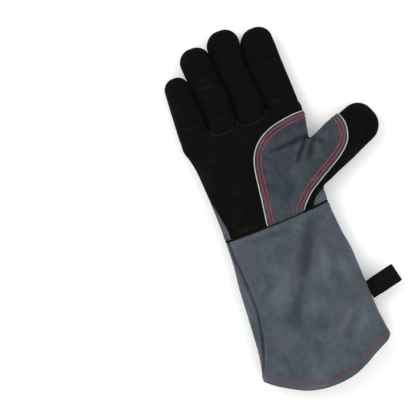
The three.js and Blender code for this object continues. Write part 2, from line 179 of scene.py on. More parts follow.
# ---- Curves in plan --------------------------------------------------------------------------------
class Line:
    """A smooth curve in plan, across X and Y."""

    def __init__(self, points: Sequence[Sequence[float]], steps: int = 8) -> None:
        """Args:
            points: what it passes through.
            steps: pieces between two of them.
        """
        self.points = spline(points, steps)

    def shifted(self, distance: float) -> "Line":
        """The same curve, moved to its left.

        Args:
            distance: how far.

        Returns:
            The new curve.
        """
        along = unit(np.gradient(self.points, axis=0))
        made = Line.__new__(Line)
        made.points = self.points + distance * np.column_stack([-along[:, 1], along[:, 0]])
        return made

    def offset(self, x: Array, y: Array, reach: float = 30) -> tuple[Array, Array]:
        """How far points are to the curve's left, and how far along it.

        Args:
            x: the points' X.
            y: the points' Y.
            reach: beyond this distance the value is only roughly right.

        Returns:
            The distance to the left, negative on the right, and the share of the curve's length.
        """
        low, high = self.points.min(0) - reach, self.points.max(0) + reach
        near = (x > low[0]) & (x < high[0]) & (y > low[1]) & (y < high[1])
        q = np.column_stack([x[near], y[near]])
        best = np.full(len(q), np.inf)
        side, share = np.zeros(len(q)), np.zeros(len(q))
        count = len(self.points) - 1
        for i in range(count):
            a, b = self.points[i], self.points[i + 1]
            d = b - a
            t = (q - a) @ d / (d @ d)
            inside = np.clip(t, -np.inf if i == 0 else 0, np.inf if i == count - 1 else 1)
            gap = q - a - inside[:, None] * d
            length = np.hypot(*gap.T)
            closer = length < best
            best = np.where(closer, length, best)
            side = np.where(closer, d[0] * gap[:, 1] - d[1] * gap[:, 0], side)
            share = np.where(closer, (i + inside) / count, share)
        far = np.full(len(x), float(reach) * 9)
        along = np.zeros(len(x))
        far[near] = np.where(side >= 0, best, -best)
        along[near] = share
        return far, along


@dataclass(frozen=True)
class Fold:
    """A soft fold or wrinkle in the leather, along a curve in plan."""

    points: Sequence[Sequence[float]]
    width: float
    depth: float

    def relief(self, p: Array) -> Array:
        """How far the leather moves out at each point, in millimetres.

        Args:
            p: the points.

        Returns:
            The move, inward where it is negative.
        """
        distance, along = Line(self.points).offset(p[:, 0], p[:, 1], 5 * self.width)
        fade = smooth(along / 0.3) * smooth((1 - along) / 0.3)
        valley = bell(distance, self.width)
        lips = bell(np.abs(distance) - 2 * self.width, self.width)
        return self.depth * fade * (0.45 * lips - valley)


# ---- Surfaces --------------------------------------------------------------------------------------
@dataclass
class Surface:
    """A sheet with its outward directions and its relief: of quads until it is cut, then of triangles."""

    points: Array
    faces: Array
    normals: Array = field(default_factory=lambda: np.zeros((0, 3)))
    relief: Array = field(default_factory=lambda: np.zeros(0))
    # Quads that split between their first and third corners, and not between the other two.
    across: Array = field(default_factory=lambda: np.zeros(0, bool))

    def find_normals(self) -> None:
        """Works out the outward direction at each point."""
        p, f = self.points, self.faces
        if f.shape[1] == 4:
            directions = np.cross(p[f[:, 2]] - p[f[:, 0]], p[f[:, 3]] - p[f[:, 1]])
        else:
            directions = np.cross(p[f[:, 1]] - p[f[:, 0]], p[f[:, 2]] - p[f[:, 0]])
        total = np.zeros_like(p)
        for i, axis in itertools.product(range(f.shape[1]), range(3)):
            total[:, axis] += np.bincount(f[:, i], directions[:, axis], len(p))
        self.normals = unit(total)

    def centres(self) -> Array:
        """The middle of each face."""
        return self.points[self.faces].mean(axis=1)

    def edges(self) -> Array:
        """Each edge's two points."""
        pairs = [self.faces[:, [i, (i + 1) % self.faces.shape[1]]] for i in range(self.faces.shape[1])]
        return np.unique(np.sort(np.vstack(pairs), axis=1), axis=0)

    def snap(self, measure: Scalar, where: Optional[Callable[[Array], Array]] = None) -> None:
        """Moves the nearest points onto the line where a measure is nought, so that a cut is smooth.

        Args:
            measure: a smooth value of the points, nought along the cut.
            where: whether the cut is wanted at the points, or everywhere.
        """
        for _ in range(2):
            value = measure(self.points)
            e = self.edges()
            crossing = (value[e[:, 0]] < 0) != (value[e[:, 1]] < 0)
            if where is not None:
                crossing &= where(self.points[e].mean(axis=1))
            e = e[crossing]
            first = np.abs(value[e[:, 0]]) < np.abs(value[e[:, 1]])
            chosen = np.unique(np.where(first, e[:, 0], e[:, 1]))
            p, n, v = self.points[chosen], self.normals[chosen], value[chosen]
            step = 0.05
            slope = np.column_stack([(measure(p + step * a) - v) / step for a in np.eye(3)])
            slope -= np.sum(slope * n, axis=1)[:, None] * n
            move = -v[:, None] * slope / np.maximum(np.sum(slope**2, axis=1), 0.09)[:, None]
            size = np.linalg.norm(move, axis=1)[:, None]
            self.points[chosen] = p + move * np.minimum(1, 1.1 / np.maximum(size, 1e-9))
        value = measure(self.points)
        value[np.abs(value) < 0.12] = 0
        a, b, c, d = (value[self.faces[:, i]] for i in range(4))
        here = np.ones(len(a), bool) if where is None else where(self.centres())
        self.across[here & (a == 0) & (c == 0) & (b * d < 0)] = True
        self.across[here & (b == 0) & (d == 0) & (a * c < 0)] = False

    def split(self) -> None:
        """Splits every quad into two triangles, along the cut where one runs through it."""
        q, turn = self.faces, self.across[:, None]
        first = np.where(turn, q[:, [0, 1, 2]], q[:, [1, 2, 3]])
        second = np.where(turn, q[:, [0, 2, 3]], q[:, [1, 3, 0]])
        self.faces = np.vstack([first, second])

    def part(self, keep: Array) -> "Surface":
        """Some of the faces as a surface of their own.

        Args:
            keep: which faces.

        Returns:
            The new surface.
        """
        faces = self.faces[keep]
        used, places = np.unique(faces, return_inverse=True)
        relief = self.relief[used] if len(self.relief) else self.relief
        return Surface(self.points[used], places.reshape(faces.shape), self.normals[used], relief)


def level_surface(values: Array, low: Array, step: float) -> Surface:
    """The surface where a grid of values is nought, as quads.

    Args:
        values: the grid, negative inside.
        low: the grid's first point.
        step: its spacing.

    Returns:
        The surface.
    """
    inside = values < 0
    size = np.array(values.shape)
    corners = np.array(list(itertools.product((0, 1), repeat=3)))
    window = lambda grid, c: grid[tuple(slice(o, o + n - 1) for o, n in zip(c, size))]
    total = sum(window(inside, c).astype(np.int8) for c in corners)
    active = (total > 0) & (total < 8)
    cells = np.argwhere(active)
    index = np.full(active.shape, -1)
    index[active] = np.arange(len(cells))
    at_corner = [values[tuple((cells + c).T)] for c in corners]
    place, hits = np.zeros((len(cells), 3)), np.zeros(len(cells))
    for i, j in itertools.combinations(range(8), 2):
        if np.abs(corners[i] - corners[j]).sum() != 1:
            continue
        a, b = at_corner[i], at_corner[j]
        cross = (a < 0) != (b < 0)
        t = np.where(cross, a / np.where(cross, a - b, 1), 0)
        place += cross[:, None] * (corners[i] + t[:, None] * (corners[j] - corners[i]))
        hits += cross
    points = low + step * (cells + place / hits[:, None])

    quads = []
    for axis in range(3):
        u, v = [i for i in range(3) if i != axis]
        lower = [slice(1, n - 1) for n in size]
        upper = list(lower)
        lower[axis], upper[axis] = slice(0, size[axis] - 1), slice(1, size[axis])
        a, b = inside[tuple(lower)], inside[tuple(upper)]
        edges = np.argwhere(a != b)
        leaving = a[tuple(edges.T)]
        edges[:, u] += 1
        edges[:, v] += 1
        ring = []
        for du, dv in ((-1, -1), (0, -1), (0, 0), (-1, 0)):
            cell = edges.copy()
            cell[:, u] += du
            cell[:, v] += dv
            ring.append(index[tuple(cell.T)])
        ring = np.column_stack(ring)
        flip = leaving if axis == 1 else ~leaving
        ring[flip] = ring[flip][:, ::-1]
        quads.append(ring)
    made = Surface(points, np.vstack(quads))
    made.across = np.zeros(len(made.faces), bool)
    made.find_normals()
    return made


# ---- The glove's form ------------------------------------------------------------------------------
def rounded(plan: Array, up: Array, radius: Array) -> Array:
    """Distance to a slab with round edges.

    Args:
        plan: distance outside its outline.
        up: distance above its top or below its bottom.
        radius: how round its edge is.

    Returns:
        The distance, negative inside.
    """
    u, v = plan + radius, up + radius
    return np.hypot(np.maximum(u, 0), np.maximum(v, 0)) + np.minimum(np.maximum(u, v), 0) - radius


def blended(a: Array, b: Array, reach: float) -> Array:
    """The union of two forms, with a fillet where they meet.

    Args:
        a: distance to the first.
        b: distance to the second.
        reach: the fillet's size.

    Returns:
        The distance to both.
    """
    near = np.maximum(reach - np.abs(a - b), 0) / reach
    return np.minimum(a, b) - near * near * reach / 4


@dataclass(frozen=True)
class Finger:
    """A finger's place and size."""

    name: str
    root: float
    tip: float
    half_root: float
    half_tip: float
    start_y: float
    mid_y: float
    tip_y: float
    height: float
    roundness: float = 0.9

    @staticmethod
    def from_frame(name: str) -> "Finger":
        """A finger as its CAD nodes and joints have it.

        Args:
            name: the finger's name.

        Returns:
            The finger.
        """
        low, high = node_box(f"{name}_tip_back")
        crease_low, crease_high = node_box(f"{name}_knuckle_crease")
        knuckle, middle = joint_place(f"{name}_knuckle_flex"), joint_place(f"{name}_tip_flex")
        # How much the tip leans to the thumb's side, how much wider it is and how much further it reaches,
        # and how much the root leans and how much wider it is.
        lean, wider, longer, root_lean, root_wider = {
            "little": (1.3, -1.0, 0.6, 0.4, 0.75), "ring": (-0.6, 0.7, 1.2, -0.15, 0.7),
            "middle": (0.1, 1.2, 1.3, 0.0, 0.55), "index": (0.2, 0.2, 0.8, -0.25, 0.65)}[name]
        return Finger(
            name=name, root=knuckle[0] + root_lean, tip=(low[0] + high[0]) / 2 + lean,
            half_root=(crease_high[0] - crease_low[0]) / 2 + root_wider,
            half_tip=(high[0] - low[0]) / 2 + wider,
            start_y=knuckle[1], mid_y=middle[1], tip_y=high[1] + longer,
            height=node_box(f"{name}_tip_front")[1][2],
        )

    @property
    def round_end(self) -> float:
        """The radius of the finger's end, seen from above."""
        return self.half_tip * self.roundness

    def share(self, y: Array) -> Array:
        """How far along the finger Y is, from 0 at the knuckle to 1 where its end turns round."""
        return np.clip((y - self.start_y) / (self.tip_y - self.round_end - self.start_y), 0, 1)

    def middle(self, y: Array) -> Array:
        """The X of the finger's middle at Y."""
        return self.root + (self.tip - self.root) * self.share(y)

    def half(self, y: Array) -> Array:
        """Half of the finger's width at Y."""
        below = np.maximum(self.start_y - y, 0)
        return self.half_root + (self.half_tip - self.half_root) * self.share(y) - 0.04 * below

    def distance(self, x: Array, y: Array, z: Array) -> Array:
        """Distance to the finger's form, negative inside.

        Args:
            x: the points' X.
            y: the points' Y.
            z: the points' Z.

        Returns:
            A value for each point.
        """
        side = np.abs(x - self.middle(y)) - self.half(y)
        end = np.maximum(y - self.tip_y, self.start_y - 24 - y)
        plan = rounded(side, end, self.round_end)
        lift = 1.6 * smooth((y - self.mid_y) / (self.tip_y - self.mid_y))
        centre = self.height / 2 + lift
        return rounded(plan, np.abs(z - centre) - self.height / 2, self.height * 0.46)


@dataclass
class GloveForm:
    """The whole glove as one form: cuff, hand, four fingers and thumb."""

    step: float = 1.3
    spread: float = 5.0  # fingers are drawn this much further apart, then closed up
    finger_gap: float = 0.25
    finger_shear: float = 0.12  # each finger leans a little over its neighbour
    # Where fingers press on each other: the gap's X, its Y above the knuckles, and how far it bows.
    bows: tuple[tuple[float, float, float], ...] = ((34.0, 51.0, -2.4), (1.0, 24.0, 2.4), (-34.0, 34.0, 1.2))
    thumb_angle: float = 20.0
    thumb_length: float = 83.0
    # From the thumb's fold along it: half of its width, how far its middle is aside, and its top's height.
    thumb_half: Table = ((-40, 20), (-10, 24.6), (15, 23.4), (35, 23.6), (60, 22.8), (90, 22.5))
    thumb_aside: Table = ((-40, -4), (-10, -1.4), (15, -1.6), (35, -0.3), (60, 0.5), (90, 1.6))
    thumb_top: Table = ((-40, 30), (0, 30.5), (40, 28.5), (90, 28))
    crotch: tuple[float, float] = (67.2, 19.5)
    # Where the hand ends between the fingers: X, and Y above a line 6 under the knuckles.
    webs: Table = ((-45, 2), (-31, 7.5), (1, -0.5), (35, 4.5), (50, 2))
    edge_above: float = 13.0  # how round the hand's and thumb's edges are on top
    edge_below: float = 10.0  # and underneath
    hem_dips: Table = (
        (-90, 0), (-60, 0), (-46, -0.4), (-32, -0.9), (-13, -0.5), (3, 0), (20, 0.6), (34, 2.0), (48, 3.8),
        (58, 3.2), (66, 1.6), (74, 0.2), (90, 0),
    )
    # From the wrist seam along Y: the left and right edges from the hand's middle, and the height.
    edges: tuple[tuple[float, float, float, float], ...] = (
        (-200, -74.6, 75.0, 40), (-162, -74.6, 74.6, 40), (-150, -72.8, 73.6, 40), (-133, -69.6, 71.4, 39),
        (-98, -66.8, 69.2, 38), (-58, -64.4, 66.6, 37), (-30, -61.2, 63.6, 35.5), (0, -60.2, 61.2, 33.5),
        (20, -60.2, 61.8, 34), (49, -61, 63.4, 35), (80, -62.8, 65.8, 34), (104, -67.4, 70.2, 30.5),
        (124, -69.4, 70.8, 27),
    )

    def __post_init__(self) -> None:
        """Reads the places of the seams and joints from the frame."""
        self.wrist_y = node_box("palm_panel")[0][1]
        self.hem_y = node_box("cuff_front_panel")[0][1]
        self.hem_rise = node_box("hem_thread")[1][1] - node_box("hem_thread")[0][1]
        self.middle_x = joint_place("wrist_flex")[0]
        self.half_hem = (node_box("cuff_back_panel")[1][0] - node_box("cuff_back_panel")[0][0]) / 2
        self.fingers = [Finger.from_frame(n) for n in ("little", "ring", "middle", "index")]
        self.knuckle_y = self.fingers[0].start_y
        self.thumb_root = joint_place("thumb_flex")[:2]
        angle = math.radians(self.thumb_angle)
        self.thumb_along = np.array([math.cos(angle), math.sin(angle)])
        self.thumb_across = np.array([-math.sin(angle), math.cos(angle)])

    # Places that seams and trims share
    def hem_line(self, x: Array) -> Array:
        """The Y of the hem's edge at X."""
        curve = self.hem_rise * ((x - self.middle_x) / self.half_hem) ** 2
        return self.hem_y + curve + through(self.hem_dips, x - self.middle_x)

    def wrist_line(self, x: Array) -> Array:
        """The Y of the wrist seam at X, which rises a little to the thumb's side."""
        across = (x - self.middle_x) / 61
        return self.wrist_y - 1.4 + 2.0 * across + 1.4 * across**2

    def left_edge(self, y: Array) -> Array:
        """The X of the hand's and cuff's outline on the little finger's side."""
        return self.middle_x + through([(e[0], e[1]) for e in self.edges], y - self.wrist_y)

    def right_edge(self, y: Array) -> Array:
        """The X of the hand's and cuff's outline on the thumb's side."""
        return self.middle_x + through([(e[0], e[2]) for e in self.edges], y - self.wrist_y)

    def on_thumb(self, p: Array) -> tuple[Array, Array]:
        """How far points are along the thumb from its fold, and to its upper side."""
        away = p[:, :2] - self.thumb_root
        return away @ self.thumb_along, away @ self.thumb_across

    def gaps(self, y: Array) -> list[tuple[Array, Array]]:
        """The X of the two sides of each gap between fingers.

        Args:
            y: where along them.

        Returns:
            The left and right sides of each gap.
        """
        made = []
        for a, b in zip(self.fingers[:-1], self.fingers[1:]):
            left, right = a.middle(y) + a.half(y), b.middle(y) - b.half(y)
            half = np.maximum((right - left) / 2, self.finger_gap / 2)
            made.append(((left + right) / 2 - half, (left + right) / 2 + half))
        return made

    # Fingers that touch are drawn apart
    def parting(self, y: Array) -> Array:
        """How much further apart each pair of fingers is drawn at Y."""
        return self.spread * smooth((y - self.knuckle_y + 26) / 16)

    def closed_up(self, x: Array, y: Array) -> Array:
        """The true X of a drawn point.

        Args:
            x: the drawn X.
            y: its Y.

        Returns:
            The X with the fingers closed up.
        """
        extra = self.parting(y)
        shift = -1.5 * extra
        for i, (a, b) in enumerate(self.gaps(y)):
            start = a + (i - 1.5) * extra
            shift = shift + extra * np.clip((x - start) / (b - a + extra), 0, 1)
        return x - shift

    def hand_distance(self, x: Array, y: Array, z: Array) -> Array:
        """Distance to the hand and cuff, negative inside.

        Args:
            x: the points' X.
            y: the points' Y.
            z: the points' Z.

        Returns:
            A value for each point.
        """
        left, right = self.left_edge(y), self.right_edge(y)
        across = (x - (left + right) / 2) / ((right - left) / 2)
        plan = rounded(np.maximum(left - x, x - right), y - (self.knuckle_y - 6 + through(self.webs, x)), 7.0)
        up = y - self.wrist_y
        height = through([(e[0], e[3]) for e in self.edges], up)
        flare = np.clip(-up / 180, 0, 1)
        top = height - (3 + 5 * flare) * np.clip(across, -1, 1) ** 2
        ball_of_thumb = 3.2 * bell(np.hypot(x - 38, (y + 20) * 0.75), 26)
        hollow_of_hand = 1.2 * bell(np.hypot(x + 10, (y + 5) * 0.6), 22)
        top = top + ball_of_thumb - hollow_of_hand
        above = z > 14
        radius = np.where(above, self.edge_above + 2 * flare, self.edge_below)
        return rounded(plan, np.where(above, z - top, -z), radius)

    def thumb_distance(self, x: Array, y: Array, z: Array) -> Array:
        """Distance to the thumb, negative inside.

        Args:
            x: the points' X.
            y: the points' Y.
            z: the points' Z.

        Returns:
            A value for each point.
        """
        dx, dy = x - self.thumb_root[0], y - self.thumb_root[1]
        along = dx * self.thumb_along[0] + dy * self.thumb_along[1]
        across = dx * self.thumb_across[0] + dy * self.thumb_across[1]
        side = np.abs(across - through(self.thumb_aside, along)) - through(self.thumb_half, along)
        end = np.maximum(along - self.thumb_length, -34 - along)
        lift = 1.5 * smooth((along - 40) / 40)
        above = z > 13
        up = np.where(above, z - through(self.thumb_top, along) - lift, lift - z)
        return rounded(rounded(side, end, 19.5), up, np.where(above, self.edge_above, self.edge_below))

    def distance(self, p: Array) -> Array:
        """Distance to the form at drawn points, negative inside.

        Args:
            p: the points, one a row.

        Returns:
            A value for each point.
        """
        x, y, z = p.T
        true_x = self.closed_up(x, y)
        total = blended(self.hand_distance(true_x, y, z), self.thumb_distance(true_x, y, z), 5.0)
        extra = self.parting(y)
        fingers = np.full(len(p), np.inf)
        for i, finger in enumerate(self.fingers):
            fingers = np.minimum(fingers, finger.distance(x - (i - 1.5) * extra, y, z))
        return np.maximum(blended(total, fingers, 4.0), -z)

    def bow(self, p: Array) -> Array:
        """How far points move along X where fingers press on each other.

        Args:
            p: the points.

        Returns:
            The move of each.
        """
        total = np.zeros(len(p))
        for x, y, amount in self.bows:
            total += amount * bell(p[:, 0] - x, 13) * bell(p[:, 1] - self.knuckle_y - y, 24)
        return total * smooth((p[:, 1] - self.knuckle_y) / 16)

    def lean(self, p: Array) -> Array:
        """How far the fingers lean over to the thumb's side, at points on them."""
        return self.finger_shear * (p[:, 2] - 13) * smooth((p[:, 1] - self.knuckle_y + 10) / 30)

    def surface(self, inset: float, step: float) -> Surface:
        """A level surface of the form, with the fingers closed up.

        Args:
            inset: how far inside the leather's outer face.
            step: the spacing of its points.

        Returns:
            The surface, open past the hem.
        """
        low = np.array([-86.0, self.hem_y - 4, -4.0])
        high = np.array([158.0, self.fingers[2].tip_y + 4, 48.0])
        axes = [np.arange(a, b, step) for a, b in zip(low, high)]
        values = np.empty([len(a) for a in axes], np.float32)
        flat = np.stack(np.meshgrid(axes[1], axes[2], indexing="ij"), axis=-1).reshape(-1, 2)
        for i, x in enumerate(axes[0]):
            points = np.column_stack([np.full(len(flat), x), flat])
            values[i] = self.distance(points).reshape(values.shape[1:])
        made = level_surface(values + inset, low, step)
        for _ in range(2):
            value = self.distance(made.points) + inset
            slope = np.column_stack(
                [(self.distance(made.points + 0.1 * a) + inset - value) / 0.1 for a in np.eye(3)])
            move = -value[:, None] * slope / np.maximum(np.sum(slope**2, axis=1), 0.25)[:, None]
            made.points += np.clip(move, -0.5 * step, 0.5 * step)
        made.points[:, 0] = self.closed_up(made.points[:, 0], made.points[:, 1])
        made.points[:, 0] += self.lean(made.points)
        made.find_normals()
        return made


# ---- Seams, folds and panels -----------------------------------------------------------------------
class Side(Enum):
    """Which leather of the glove a panel is."""

    FRONT = "front"
    BACK = "back"
    LITTLE_SIDE = "fourchette_little_side"
    THUMB_SIDE = "fourchette_thumb_side"


class Seams:
    """Where the glove's panels meet, and where its bodies part."""

    seam_z = 13.0  # the height of the side seams
    strip_half = 3.0  # half of the height of the strips between the fingers
    thumb_split = 37.0  # where the thumb's leather passes from its base to its tip, along it
    thumb_heel = 12.0  # above the wrist seam
    climb = 18.8  # how far the hand's side seam climbs round the edge, by the wrist
    climb_length = 84.0  # how far above the wrist it starts to

    def __init__(self, form: GloveForm) -> None:
        """Args:
            form: the glove's form.
        """
        self.form = form
        x, y = form.middle_x, form.wrist_y
        place = lambda points: [(x + a, y + b) for a, b in points]
        self.patch_palm = Line(place([
            (-11.6, -4), (-9.2, 13), (-7, 28), (-5, 44), (-3, 58), (-0.4, 69), (3.4, 77.5), (10, 86),
            (19, 92.8), (31, 98), (44, 101), (58, 102.8), (72, 103.4), (84, 104)]))
        self.patch_thumb = Line(place([
            (27.6, -4), (31.2, 2), (38, 10), (46.4, 18), (59, 26), (75, 35), (90, 44), (101, 53.8), (106, 64),
            (107.2, 75), (105, 86), (101, 98)]))
        self.strip_edge = Line(place([(41, -4), (43.4, 2), (48, 9), (54, 13), (62, 16.4), (74, 20)]))
        self.ring_root = Line(place([
            (-34, 117), (-31.6, 113.4), (-28, 110.8), (-19, 110), (-10, 112), (-1, 113.4)]))
        self.middle_root = Line(place([
            (-1, 113.4), (3, 110.6), (14, 109.4), (26, 111.6), (32, 117), (33, 122)]))
        self.cuff_side = Line(place([
            (-57.5, 2), (-58.2, -20), (-56.2, -41), (-55, -63), (-55, -82), (-58, -104), (-64, -127),
            (-71, -147), (-79, -164)]))
        self.split_y = form.knuckle_y - 8
        self.folds = self._folds(place)

    def _folds(self, place: Callable) -> list[Fold]:
        """The folds that a worn glove has.

        Args:
            place: turns points from the wrist seam's middle into points of the glove.

        Returns:
            The folds.
        """
        specs = [
            ([(78, 80), (64, 77), (50, 75), (33, 73.5), (12, 73)], 3.2, 2.1),
            ([(74, 84), (64, 76), (55, 67), (47, 58), (38, 45)], 2.4, 2.6),
            ([(72, 82), (67, 70), (60, 58), (56, 46)], 3.0, 1.4),
            ([(62, 82), (72, 70), (82, 60)], 3.4, 1.0),
            ([(24, 66), (20, 52), (19, 40)], 1.5, 0.7),
            ([(34, 52), (27, 40), (21, 32)], 1.5, 0.7),
            ([(16, 39), (24, 35), (19, 23)], 1.4, 0.6),
            ([(22, 29), (30, 24)], 1.4, 0.5),
            ([(22, 65), (32, 66), (42, 66)], 1.8, 0.8),
            ([(6, 42), (13, 34)], 1.5, 0.5),
            ([(40, 40), (48, 34), (58, 38)], 2.0, 0.6),
            ([(8, 58), (12, 46), (10, 34)], 1.8, 0.5),
            ([(60, 16), (53, 10), (45, 2)], 1.8, 0.8),
            ([(52, 96), (58, 90), (68, 87)], 2.0, 0.8),
            ([(-50, 98), (-38, 92), (-24, 94)], 3.4, 0.8),
            ([(-20, 92), (-6, 96), (6, 94)], 3.2, 0.7),
            ([(-46, 44), (-34, 36), (-20, 34)], 4.2, 0.8),
            ([(-52, 22), (-40, 14), (-26, 14)], 3.6, 0.8),
            ([(-18, 64), (-22, 50), (-20, 36)], 4.6, 0.9),
            ([(86, 74), (90, 64), (88, 52)], 2.2, 0.6),
            ([(112, 78), (116, 66), (113, 54)], 2.6, 0.8),
            ([(38, -4), (32, -18), (20, -40), (8, -62), (-4, -80), (-18, -102), (-28, -124)], 8.5, 1.15),
            ([(54, -116), (44, -128), (32, -138), (26, -158)], 4.5, 1.2),
            ([(-28, -60), (-36, -68), (-50, -78)], 3.6, 0.8),
            ([(-42, -132), (-44, -150), (-40, -176)], 5.0, 0.9),
            ([(-44, -6), (-30, -12), (-12, -11), (4, -15)], 3.6, 0.8),
            ([(40, -30), (44, -56), (40, -84), (46, -112)], 5.5, 1.0),
            ([(62, -30), (56, -52), (60, -76)], 4.0, 0.8),
            ([(0, -120), (16, -126), (34, -118)], 4.0, 0.8),
            ([(-30, -20), (-34, -44), (-28, -62)], 6.0, 0.8),
            ([(-10, -128), (-6, -146), (-12, -166)], 5.0, 0.9),
        ]
        folds = [Fold(place(points), width, depth) for points, width, depth in specs]
        for finger in self.form.fingers:
            for at, lean in ((finger.mid_y - 3, 2.0), (finger.mid_y + 6, -1.5), (finger.start_y + 10, 1.0)):
                middle, half = float(finger.middle(at)), float(finger.half(at))
                reach = 0.8 * half
                line = [(middle - reach, at + lean), (middle, at - 1.5), (middle + reach, at - lean)]
                folds.append(Fold(line, 2.2, 0.65))
        return folds

    # Which body
    def thumb_line(self, p: Array) -> Array:
        """Above nought past the line where the thumb leaves the hand."""
        return p[:, 0] - self.form.crotch[0]

    def crotch_line(self, p: Array) -> Array:
        """Above nought on the thumb's side of the crotch."""
        return 0.8 * (p[:, 0] - self.form.crotch[0]) - 0.6 * (p[:, 1] - self.form.crotch[1])

    def is_thumb(self, p: Array) -> Array:
        """Whether points are on the thumb."""
        return (self.thumb_line(p) > 0) & (self.crotch_line(p) > 0) & (
            p[:, 1] > self.form.wrist_y + self.thumb_heel)

    def finger_of(self, p: Array) -> Array:
        """The number of the finger that each point's X falls in.

        Args:
            p: the points.

        Returns:
            Numbers from 0, the little finger, to 3.
        """
        upright = p[:, 0] - self.form.lean(p)
        number = np.zeros(len(p), int)
        for a, b in self.form.gaps(np.maximum(p[:, 1], self.form.knuckle_y)):
            number += upright > (a + b) / 2
        return number

    def tip_split(self, number: int) -> float:
        """The Y where a finger's outer leather passes from its base to its tip."""
        finger = self.form.fingers[number]
        return (finger.start_y + 14 + finger.mid_y - 10) / 2

    def bodies(self, p: Array) -> Array:
        """The name of the body that each point is on.

        Args:
            p: the points.

        Returns:
            The names.
        """
        names = np.full(len(p), "hand", dtype="<U16")
        number = self.finger_of(p)
        for i, finger in enumerate(self.form.fingers):
            of_it = (p[:, 1] > self.split_y) & (number == i)
            names[of_it] = finger.name
            names[of_it & (p[:, 1] > self.tip_split(i))] = finger.name + "_tip"
        thumb = self.is_thumb(p)
        names[thumb] = "thumb"
        names[thumb & (self.form.on_thumb(p)[0] > self.thumb_split)] = "thumb_tip"
        names[p[:, 1] < self.form.wrist_line(p[:, 0])] = "cuff"
        return names

    # Which panel
    def hand_seam(self, p: Array) -> Array:
        """Height above the hand's side seam, which climbs onto the front near the wrist.

        Args:
            p: the points.

        Returns:
            The height along the leather, negative below the seam.
        """
        rise = smooth((self.form.wrist_y + self.climb_length - p[:, 1]) / self.climb_length)
        round_edge = self.form.edge_above
        inward = self.form.left_edge(p[:, 1]) + round_edge - p[:, 0]
        above = p[:, 2] - 21
        arc = np.where(above > 0, round_edge * np.arctan2(above, np.maximum(inward, 0.01)), above)
        return np.where(p[:, 0] < 0, arc + 20 - self.seam_z - self.climb * rise, p[:, 2] - self.seam_z - 1)

    def sides(self, p: Array, body: Array) -> Array:
        """The side of the glove that each point is on, as the index of a Side.

        Args:
            p: the points.
            body: their bodies.

        Returns:
            The numbers.
        """
        front, back, little, thumb = range(4)
        side = np.where(p[:, 2] > self.seam_z, front, back)
        hand = body == "hand"
        grey = (self.hand_seam(p) < 0) | ((self.strip_edge.offset(p[:, 0], p[:, 1])[0] < 0) & (p[:, 0] > 30)
                                         & (p[:, 1] < self.form.wrist_y + 24))
        side = np.where(hand, np.where(grey, back, front), side)
        cuff = body == "cuff"
        wrapped = self.cuff_side.offset(p[:, 0], p[:, 1])[0] < 0
        side = np.where(cuff & (p[:, 0] < 0) & wrapped, back, side)
        number = self.finger_of(p)
        for i, finger in enumerate(self.form.fingers):
            band = (body == finger.name) & (np.abs(p[:, 2] - self.seam_z) < self.strip_half)
            right = p[:, 0] > finger.middle(p[:, 1])
            if i > 0:
                side = np.where(band & (number == i) & ~right, little, side)
            if i < 3:
                side = np.where(band & (number == i) & right, thumb, side)
        return side

    def patch(self, p: Array) -> Array:
        """Distance inside the patch's two sewn edges.

        Args:
            p: the points.

        Returns:
            The distance, negative outside.
        """
        palm = -self.patch_palm.offset(p[:, 0], p[:, 1])[0]
        thumb = self.patch_thumb.offset(p[:, 0], p[:, 1])[0]
        return np.minimum(palm, thumb)

    def cut(self, skin: Surface) -> None:
        """Lays the skin's edges along every seam.

        Args:
            skin: the leather's outer face.
        """
        form = self.form
        above = lambda p: p[:, 2] > self.seam_z + 1
        skin.snap(lambda p: p[:, 1] - form.hem_line(p[:, 0]) - 0.5)
        skin.snap(lambda p: p[:, 1] - form.wrist_line(p[:, 0]))
        skin.snap(lambda p: p[:, 1] - self.split_y, lambda p: ~self.is_thumb(p))
        for i in range(4):
            skin.snap(lambda p: p[:, 1] - self.tip_split(i), lambda p: self.finger_of(p) == i)
        past_heel = lambda p: p[:, 1] > form.wrist_y + self.thumb_heel
        skin.snap(self.thumb_line, lambda p: (self.crotch_line(p) > 0) & past_heel(p))
        skin.snap(self.crotch_line, lambda p: self.thumb_line(p) > 0)
        skin.snap(lambda p: form.on_thumb(p)[0] - self.thumb_split, self.is_thumb)
        hand = lambda p: (p[:, 1] > form.wrist_line(p[:, 0])) & (p[:, 1] < self.split_y) & ~self.is_thumb(p)
        skin.snap(self.hand_seam, hand)
        skin.snap(lambda p: self.strip_edge.offset(p[:, 0], p[:, 1])[0], lambda p: hand(p) & above(p))
        skin.snap(lambda p: p[:, 2] - self.seam_z, lambda p: ~hand(p))
        in_base = lambda p: (p[:, 1] > self.split_y) & ~self.is_thumb(p)
        for height in (-self.strip_half, self.strip_half):
            skin.snap(lambda p: p[:, 2] - self.seam_z - height, in_base)
        skin.snap(lambda p: self.cuff_side.offset(p[:, 0], p[:, 1])[0],
                  lambda p: above(p) & (p[:, 1] < form.wrist_line(p[:, 0])) & (p[:, 0] < 0))
        skin.snap(self.patch, above)

    def relief(self, p: Array, n: Array) -> Array:
        """How far the leather stands out or in: seams drawn tight, folds and small lumps.

        Args:
            p: the points of the form.
            n: its outward directions.

        Returns:
            The move along the direction, in millimetres. The leather's finish also reads it, painting shade
            where it is sunk and lightening proud places.
        """
        form = self.form
        facing = smooth((n[:, 2] + 0.05) / 0.35)
        under = smooth((-n[:, 2] - 0.3) / 0.4)
        total = np.zeros(len(p))
        for fold in self.folds:
            total += fold.relief(p) * facing
        # Sewn lines drawn in between two low ridges.
        for line, depth in ((self.ring_root, 1.0), (self.middle_root, 1.0), (self.cuff_side, 1.8),
                            (self.strip_edge, 0.6)):
            distance, along = line.offset(p[:, 0], p[:, 1], 12)
            inside = ((along > -0.02) & (along < 1.02)) * facing
            total += depth * inside * (0.4 * bell(np.abs(distance) - 3, 1.8) - bell(distance, 1.5))
